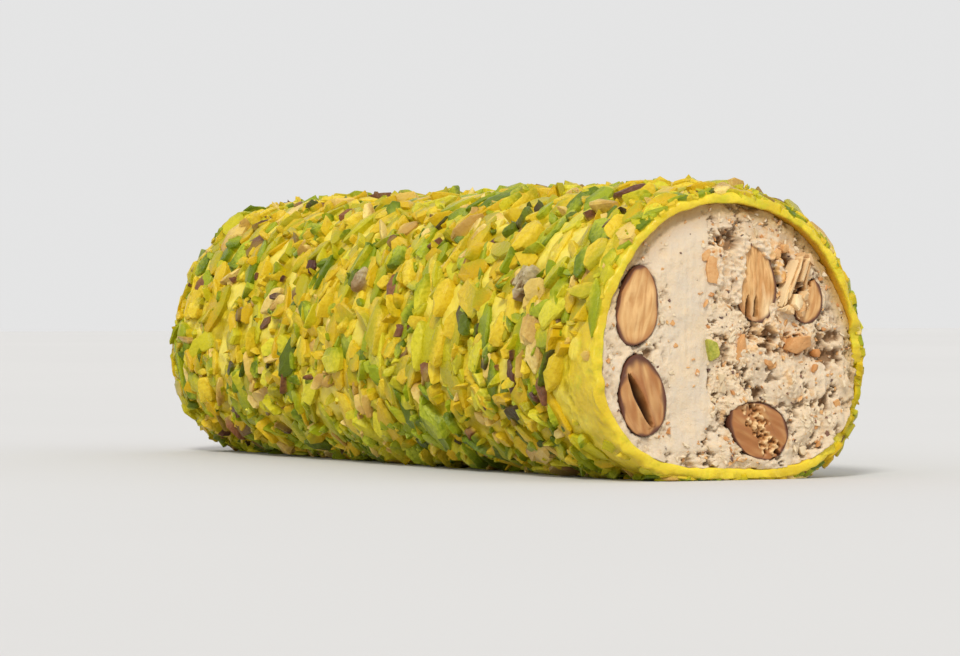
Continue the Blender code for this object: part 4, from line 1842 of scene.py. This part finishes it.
@dataclass
class Nougat:
    """The nougat log: smeared and torn at its cuts, with a hollow behind each almond."""

    form: RollForm
    almonds: list[CutAlmond]
    recess: float = 0.3
    sunk_edge: float = 2.0
    sunk_edge_width: float = 0.26
    sunk_edge_angle: float = 74.0
    crag_height: float = 1.3
    crag_span: float = 5.0
    # Pits in the shown cut: middle across and up, radius and depth.
    pits: tuple = (
        (8.5, 9.4, 1.2, 1.8),
        (9.5, 12.6, 1.4, 2.4),
        (11.0, 8.4, 2.2, 1.4),
        (-15.4, -2.0, 1.1, 1.0),
        (18.8, 0.5, 1.5, 1.5),
        (6.3, 0.5, 2.2, 2.0),
        (-1.2, 16.2, 1.8, 1.6),
        (18.6, -3.0, 1.7, 1.8),
        (17.2, -10.3, 1.5, 2.0),
        (3.8, -8.6, 1.5, 1.4),
    )
    # Where ground nut shows: middle across and up, reach across and up, and how much of it.
    nutty: tuple = ((8.0, 11.5, 7.0, 5.5, 1.0), (8.0, 0.0, 8.0, 4.0, 0.75), (-2.5, 11.0, 2.5, 4.0, 0.7))
    # Smears of paste: both ends across and up, radius and how far they stand proud.
    smears: tuple = (
        (1.6, 16.0, 0.2, 7.0, 1.0, 0.75),
        (-0.4, 12.0, -1.6, 7.0, 0.6, 0.3),
        (-3.0, 14.6, -2.9, 9.4, 0.5, 0.5),
        (4.6, 15.8, 6.6, 14.4, 1.1, 0.6),
        (6.9, 5.2, 7.6, 1.8, 0.8, 0.3),
        (8.4, 12.8, 8.9, 9.8, 0.6, 0.5),
    )
    pocket: float = 2.4
    clearance: float = 0.05
    around: int = 480
    rings: int = 150
    cut_seeds: tuple = ((FRONT, 0.3), (BACK, 5.3))

    def torn(self, across: np.ndarray, up: np.ndarray) -> np.ndarray:
        """Tells how torn the cut is.

        Args:
            across: Places across from the axis.
            up: Places up from the axis.

        Returns:
            0 where the knife smeared it and 1 where it broke.
        """
        place = np.stack((across, up, np.zeros_like(across)), axis=-1)
        ends = smooth_step((np.abs(up) - 6.0) / 4.0)
        wander = 5.0 * ends * noise_at(place, 4.5, 1.7) + 0.5 * noise_at(place, 1.2, 5.7)
        right = smooth_step((across + 5.4 + wander) / 0.8)
        left = 0.4 * smooth_step((-11.5 - across + 2.0 * noise_at(place, 3.0, 8.1)) / 1.5)
        patches = 0.62 + 0.38 * smooth_step(0.5 + 4.0 * noise_at(place, 5.0, 2.3))
        low = 0.55 * smooth_step((-up - 16.0) / 3.0)
        return np.maximum(np.maximum(right * patches, left), low)

    def sink(self, cut: CutSurface, seed: float) -> None:
        """Sinks the upper edge below the wrap's rim, and gives the cut the solid's crags.

        Args:
            cut: The cut.
            seed: Seed of the solid's crags there.
        """
        angle = np.arctan2(cut.up, cut.across)
        share = np.hypot(cut.across, cut.up) / self.form.outline(angle)
        turned = np.cos(angle - math.radians(self.sunk_edge_angle))
        sink = self.sunk_edge * smooth_step((share - 1 + self.sunk_edge_width) / self.sunk_edge_width)
        shift = np.full_like(cut.across, seed * self.crag_span)
        crags = noise_at(np.stack((cut.across, cut.up, shift), axis=-1), self.crag_span)
        rough = 0.25 + 0.75 * smooth_step((cut.across + 5) / 8)
        cut.depth = self.recess + sink * smooth_step(turned + 0.3) + self.crag_height * rough * crags
        # Painted shade in the sunk upper edge, under the wrap's rim.
        cut.hollow = 0.5 * sink / self.sunk_edge * smooth_step(turned + 0.3)
        # Painted shade and yellow reflection near the top rim.
        cut.rim_shade_and_reflection = smooth_step((share - 0.86) / 0.14) * smooth_step(turned + 0.5)

    def pit(self, cut: CutSurface, across: float, up: float, radius: float, depth: float) -> None:
        """Breaks one ragged pit out of the cut.

        Args:
            cut: The cut.
            across: The pit's place across from the axis.
            up: Its place up from the axis.
            radius: Its radius.
            depth: Its depth.
        """
        away = np.hypot(cut.across - across, cut.up - up) / radius
        shape = smooth_step(1.25 - away + 1.1 * cut.noise(1.5) + 0.6 * cut.noise(0.6))
        cut.depth = cut.depth + depth * shape
        # Painted shade in the pit.
        cut.hollow = np.maximum(cut.hollow, smooth_step(shape * 1.6 - 0.35))

    def tear(self, cut: CutSurface) -> None:
        """Tears crumbs out of the cut, less in a calm patch, and drags it where the knife ran.

        Args:
            cut: The cut.
        """
        broken = cut.coarse + 0.55 * cut.middling + 0.3 * cut.fine + 0.12 * cut.grit
        calm = np.exp(-(((cut.across - 9.5) / 6.0) ** 2) - ((cut.up + 8.5) / 4.0) ** 2)
        dragged = smooth_step((cut.across - 1) / 4) * smooth_step((-2 - cut.up) / 4)
        spared = 0.2 + 0.22 * cut.noise(6.0, 11.0) + 0.26 * calm + 0.06 * dragged
        tear = smooth_step((broken - spared) / 0.08) * smooth_step(cut.torn * 1.6 - 0.3)
        pit_floor = 0.5 + 0.9 * cut.middling + 0.7 * cut.fine + 0.5 * cut.grit
        swells = 0.9 * cut.coarse + 0.3 * cut.middling + 0.2 * cut.fine + 0.2 * cut.grit
        cut.depth = cut.depth + tear * pit_floor + cut.torn * swells
        shaded = 0.62 * tear * smooth_step(0.45 + 2.4 * cut.middling + 1.2 * cut.fine)
        cut.hollow = np.maximum(cut.hollow, shaded)
        streaks = np.stack((cut.across, cut.up * 0.12, np.full_like(cut.across, 3.0)), axis=-1)
        streaked = 0.12 * noise_at(streaks, 0.7) + 0.1 * cut.middling
        cut.depth = cut.depth + (1 - cut.torn) * streaked
        shift = np.full_like(cut.across, 7.0)
        drags = np.stack((cut.across + 0.12 * cut.up, cut.up * 0.14, shift), axis=-1)
        ridges = 0.45 * noise_at(drags, 0.6) + 0.35 * noise_at(drags, 1.3, 2.2)
        cut.depth = cut.depth + dragged * ridges

    def show_nut(self, cut: CutSurface) -> None:
        """Marks where ground nut shows in the torn paste of the shown cut.

        Args:
            cut: The cut.
        """
        nutty = np.zeros_like(cut.across)
        for across, up, wide, tall, share in self.nutty:
            near_by = np.exp(-(((cut.across - across) / wide) ** 2) - ((cut.up - up) / tall) ** 2)
            nutty = np.maximum(nutty, share * near_by)
        patchy = smooth_step(0.55 + 3.0 * cut.noise(1.1, 6.1) + 1.5 * cut.grit)
        cut.nutty = cut.torn * nutty * patchy

    def hold(self, cut: CutSurface, almond: CutAlmond) -> None:
        """Makes the hollow that an almond sits in, with a lip of paste round it.

        Args:
            cut: The cut.
            almond: The almond.
        """
        near = almond.share(cut.across, cut.up) + 0.06 * cut.noise(0.8, 9.0)
        cut.depth = cut.depth + self.pocket * smooth_step((1.01 - near) * 14)
        lip = np.exp(-(((near - 1.1) / 0.07) ** 2))
        cut.depth = cut.depth - 0.25 * lip * (0.5 + cut.noise(1.0, 4.0))
        # Painted shade in the pocket round the almond.
        cut.hollow = np.maximum(cut.hollow, smooth_step((1.05 - near) * 12) * 0.9)

    def smear(self, cut: CutSurface, smear: tuple) -> None:
        """Lays one smear of paste over the cut.

        Args:
            cut: The cut.
            smear: Both its ends across and up, its radius and how far it stands proud.
        """
        start_x, start_z, end_x, end_z, radius, proud = smear
        run = np.array((end_x - start_x, end_z - start_z))
        share = (cut.across - start_x) * run[0] + (cut.up - start_z) * run[1]
        share = np.clip(share / (run @ run), 0, 1)
        away = np.hypot(cut.across - start_x - share * run[0], cut.up - start_z - share * run[1])
        cover = smooth_step((1.15 + 0.8 * cut.noise(1.6, 7.0) - away / radius) * 3)
        cut.depth = cut.depth + cover * (0.5 * cut.fine - proud - cut.depth)
        cut.torn = cut.torn * (1 - 0.6 * cover)
        cut.hollow = cut.hollow * (1 - cover)

    def surface(self, across: np.ndarray, up: np.ndarray, side: int, seed: float) -> CutSurface:
        """Works out the cut at some places, step by step.

        Args:
            across: Places across from the axis.
            up: Places up from the axis.
            side: Which cut it is.
            seed: Seed of the solid's crags there.

        Returns:
            The cut, with its depth below the rim and its marks.
        """
        cut = CutSurface(across, up, side)
        cut.torn = self.torn(across, up)
        self.sink(cut, seed)
        if side == FRONT:
            for pit in self.pits:
                self.pit(cut, *pit)
        self.tear(cut)
        if side == FRONT:
            self.show_nut(cut)
        for almond in self.almonds:
            if almond.side == side:
                self.hold(cut, almond)
        if side == FRONT:
            for smear in self.smears:
                self.smear(cut, smear)
        return cut

    def end(self, shell: Shell, angle: np.ndarray, side: int, seed: float) -> np.ndarray:
        """Adds one cut to the log.

        Args:
            shell: The log.
            angle: Angles round the roll.
            side: Which cut it is.
            seed: Seed of the solid's crags there.

        Returns:
            The vertex numbers of its outermost ring.
        """
        form = self.form
        rings = []
        for share in np.linspace(0.01, 1.0, self.rings if side == FRONT else self.rings // 3):
            radius = share * (form.outline(angle) - self.clearance)
            points = form.section_point(angle, radius, np.zeros_like(angle), form.inner_floor)
            across, up = points[:, 0] - form.section_shift, points[:, 2] - form.axis_height
            cut = self.surface(across, up, side, seed)
            points[:, 1] = side * (form.half - cut.depth)
            rings.append(shell.add(points, **cut.marks()))
        for first, second in zip(rings, rings[1:]):
            shell.bridge(first, second)
        shell.cap(rings[0])
        return rings[-1]

    def build(self) -> None:
        """Makes the log with both its cuts."""
        shell = Shell()
        angle = np.linspace(0, 2 * math.pi, self.around, endpoint=False)
        shell.bridge(*(self.end(shell, angle, side, seed) for side, seed in self.cut_seeds))
        settle(shell.build("nougat", WhippedNougat().make(), 180.0), "nougat", "nougat_filling")


@dataclass(frozen=True)
class SoftLight:
    """One wide, far soft light, even over the whole card."""

    name: str
    towards: tuple[float, float, float]
    watts: float
    breadth: float
    colour: str

    def hang(self) -> None:
        """Adds the light; towards points from the roll to it, and breadth is in degrees."""
        lamp = bpy.data.lights.new(self.name, "SUN")
        lamp.angle = math.radians(self.breadth)
        lamp.energy = self.watts
        lamp.color = linear(self.colour)[:3]
        holder = bpy.data.objects.new(self.name, lamp)
        holder.location = self.towards
        holder.rotation_euler = (-Vector(self.towards)).to_track_quat("-Z", "Y").to_euler()
        bpy.context.scene.collection.objects.link(holder)


@dataclass
class Studio:
    """Pale card, soft lights and the camera at the photographer's angle, in metres and degrees."""

    card_size: float = 6.0
    lights: tuple = (
        SoftLight("key", (-0.5, -0.66, 0.74), 2.2, 13.0, "#FFFDF8"),
        SoftLight("fill", (0.75, -0.6, 0.4), 0.35, 60.0, "#FFFFFF"),
    )
    air: str = "#FFFFFF"
    air_strength: float = 0.78
    face_distance: float = 0.736
    bearing: float = 30.3
    camera_height: float = 0.030
    target: tuple[float, float, float] = (-0.0025, 0.0, 0.0245)
    lens: float = 168.0
    sensor: float = 36.0
    farthest: float = 50.0

    def build(self, form: RollForm) -> None:
        """Sets the stage, the lights, the world and the camera.

        Args:
            form: The roll, which the camera looks at.
        """
        self.lay_card()
        for light in self.lights:
            light.hang()
        world = bpy.data.worlds.new("studio_air")
        world.use_nodes = True
        background = world.node_tree.nodes["Background"]
        background.inputs["Color"].default_value = linear(self.air)
        background.inputs["Strength"].default_value = self.air_strength
        bpy.context.scene.world = world
        bpy.context.scene.view_settings.view_transform = "Standard"
        self.set_camera(form)

    def lay_card(self) -> None:
        """Lays the card under the roll."""
        half = self.card_size / 2 / MM
        signs = np.array(((-1, -1, 0), (1, -1, 0), (1, 1, 0), (-1, 1, 0)))
        shell = Shell()
        shell.cap(shell.add(signs * half))
        shell.build("studio_card", StudioPaper().make())

    def set_camera(self, form: RollForm) -> None:
        """Puts the camera at the photograph's angle to the roll, and aims it at the roll's middle.

        Args:
            form: The roll, whose shown cut the camera's distance is measured from.
        """
        data = bpy.data.cameras.new("camera")
        data.lens = self.lens
        data.sensor_width = self.sensor
        data.clip_end = self.farthest
        bearing = math.radians(self.bearing)
        camera = bpy.data.objects.new("camera", data)
        camera.location = (
            -self.face_distance * math.sin(bearing),
            -form.half * MM - self.face_distance * math.cos(bearing),
            self.camera_height,
        )
        aim = Vector(self.target) - camera.location
        camera.rotation_euler = aim.to_track_quat("-Z", "Y").to_euler()
        bpy.context.scene.collection.objects.link(camera)
        bpy.context.scene.camera = camera


def front_almonds(form: RollForm) -> list[CutAlmond]:
    """Places the almonds of the shown cut.

    Args:
        form: The roll.

    Returns:
        The almonds.
    """
    split = {"skin_width": 0.9, "skin_lean": 0.5}
    half_skinned = {"skin_towards": 0.0, "skin_lean": 1.0}
    broken = {"crumble_towards": 165.0, "crumble_band": (0.7, 9.0), **half_skinned}
    return [
        CutAlmond(form, "almond_upper_left", -18.1, 5.5, 7.4, 13.2, -9, 9.0, NutStyle.WHOLE),
        CutAlmond(form, "almond_lower_left", -17.5, -9.0, 8.4, 13.6, 12, 8.0, NutStyle.SPLIT, **split),
        CutAlmond(form, "almond_centre", 4.0, 9.3, 7.4, 13.2, 3, 7.0, NutStyle.FIBROUS, **half_skinned),
        CutAlmond(form, "almond_broken", 14.2, 6.2, 5.2, 7.4, -14, 6.0, NutStyle.BROKEN, **broken),
        CutAlmond(form, "almond_bottom", 4.5, -14.9, 9.0, 11.8, 62, 8.0, NutStyle.CRUMBLED),
    ]


def back_almonds(form: RollForm) -> list[CutAlmond]:
    """Places the almonds of the far cut.

    Args:
        form: The roll.

    Returns:
        The almonds.
    """
    return [
        CutAlmond(form, "almond_back_top", -6.5, 12.0, 8.0, 12.4, 70, 8.0, NutStyle.WHOLE, BACK),
        CutAlmond(form, "almond_back_right", 13.0, 2.5, 7.8, 13.0, -24, 9.0, NutStyle.SPLIT, BACK),
        CutAlmond(form, "almond_back_left", -14.0, -3.5, 7.6, 12.8, 12, 8.0, NutStyle.WHOLE, BACK),
        CutAlmond(form, "almond_back_bottom", 4.0, -12.6, 8.0, 11.6, 78, 7.0, NutStyle.CRUMBLED, BACK),
    ]


def main() -> None:
    """Builds the roll piece by piece, then the studio round it."""
    logging.basicConfig(level=logging.INFO, format="%(message)s")
    form = RollForm()
    coat = ChipCoat(form)
    WrapSheet(form, coat).build()
    coat.build()
    almonds = front_almonds(form) + back_almonds(form)
    nougat = Nougat(form, almonds)
    nougat.build()
    FaceCrumbs(nougat).build()
    almond_finish = RoastedAlmond().make()
    for almond in almonds:
        almond.build(almond_finish)
    Studio().build(form)


if __name__ == "__main__":
    main()
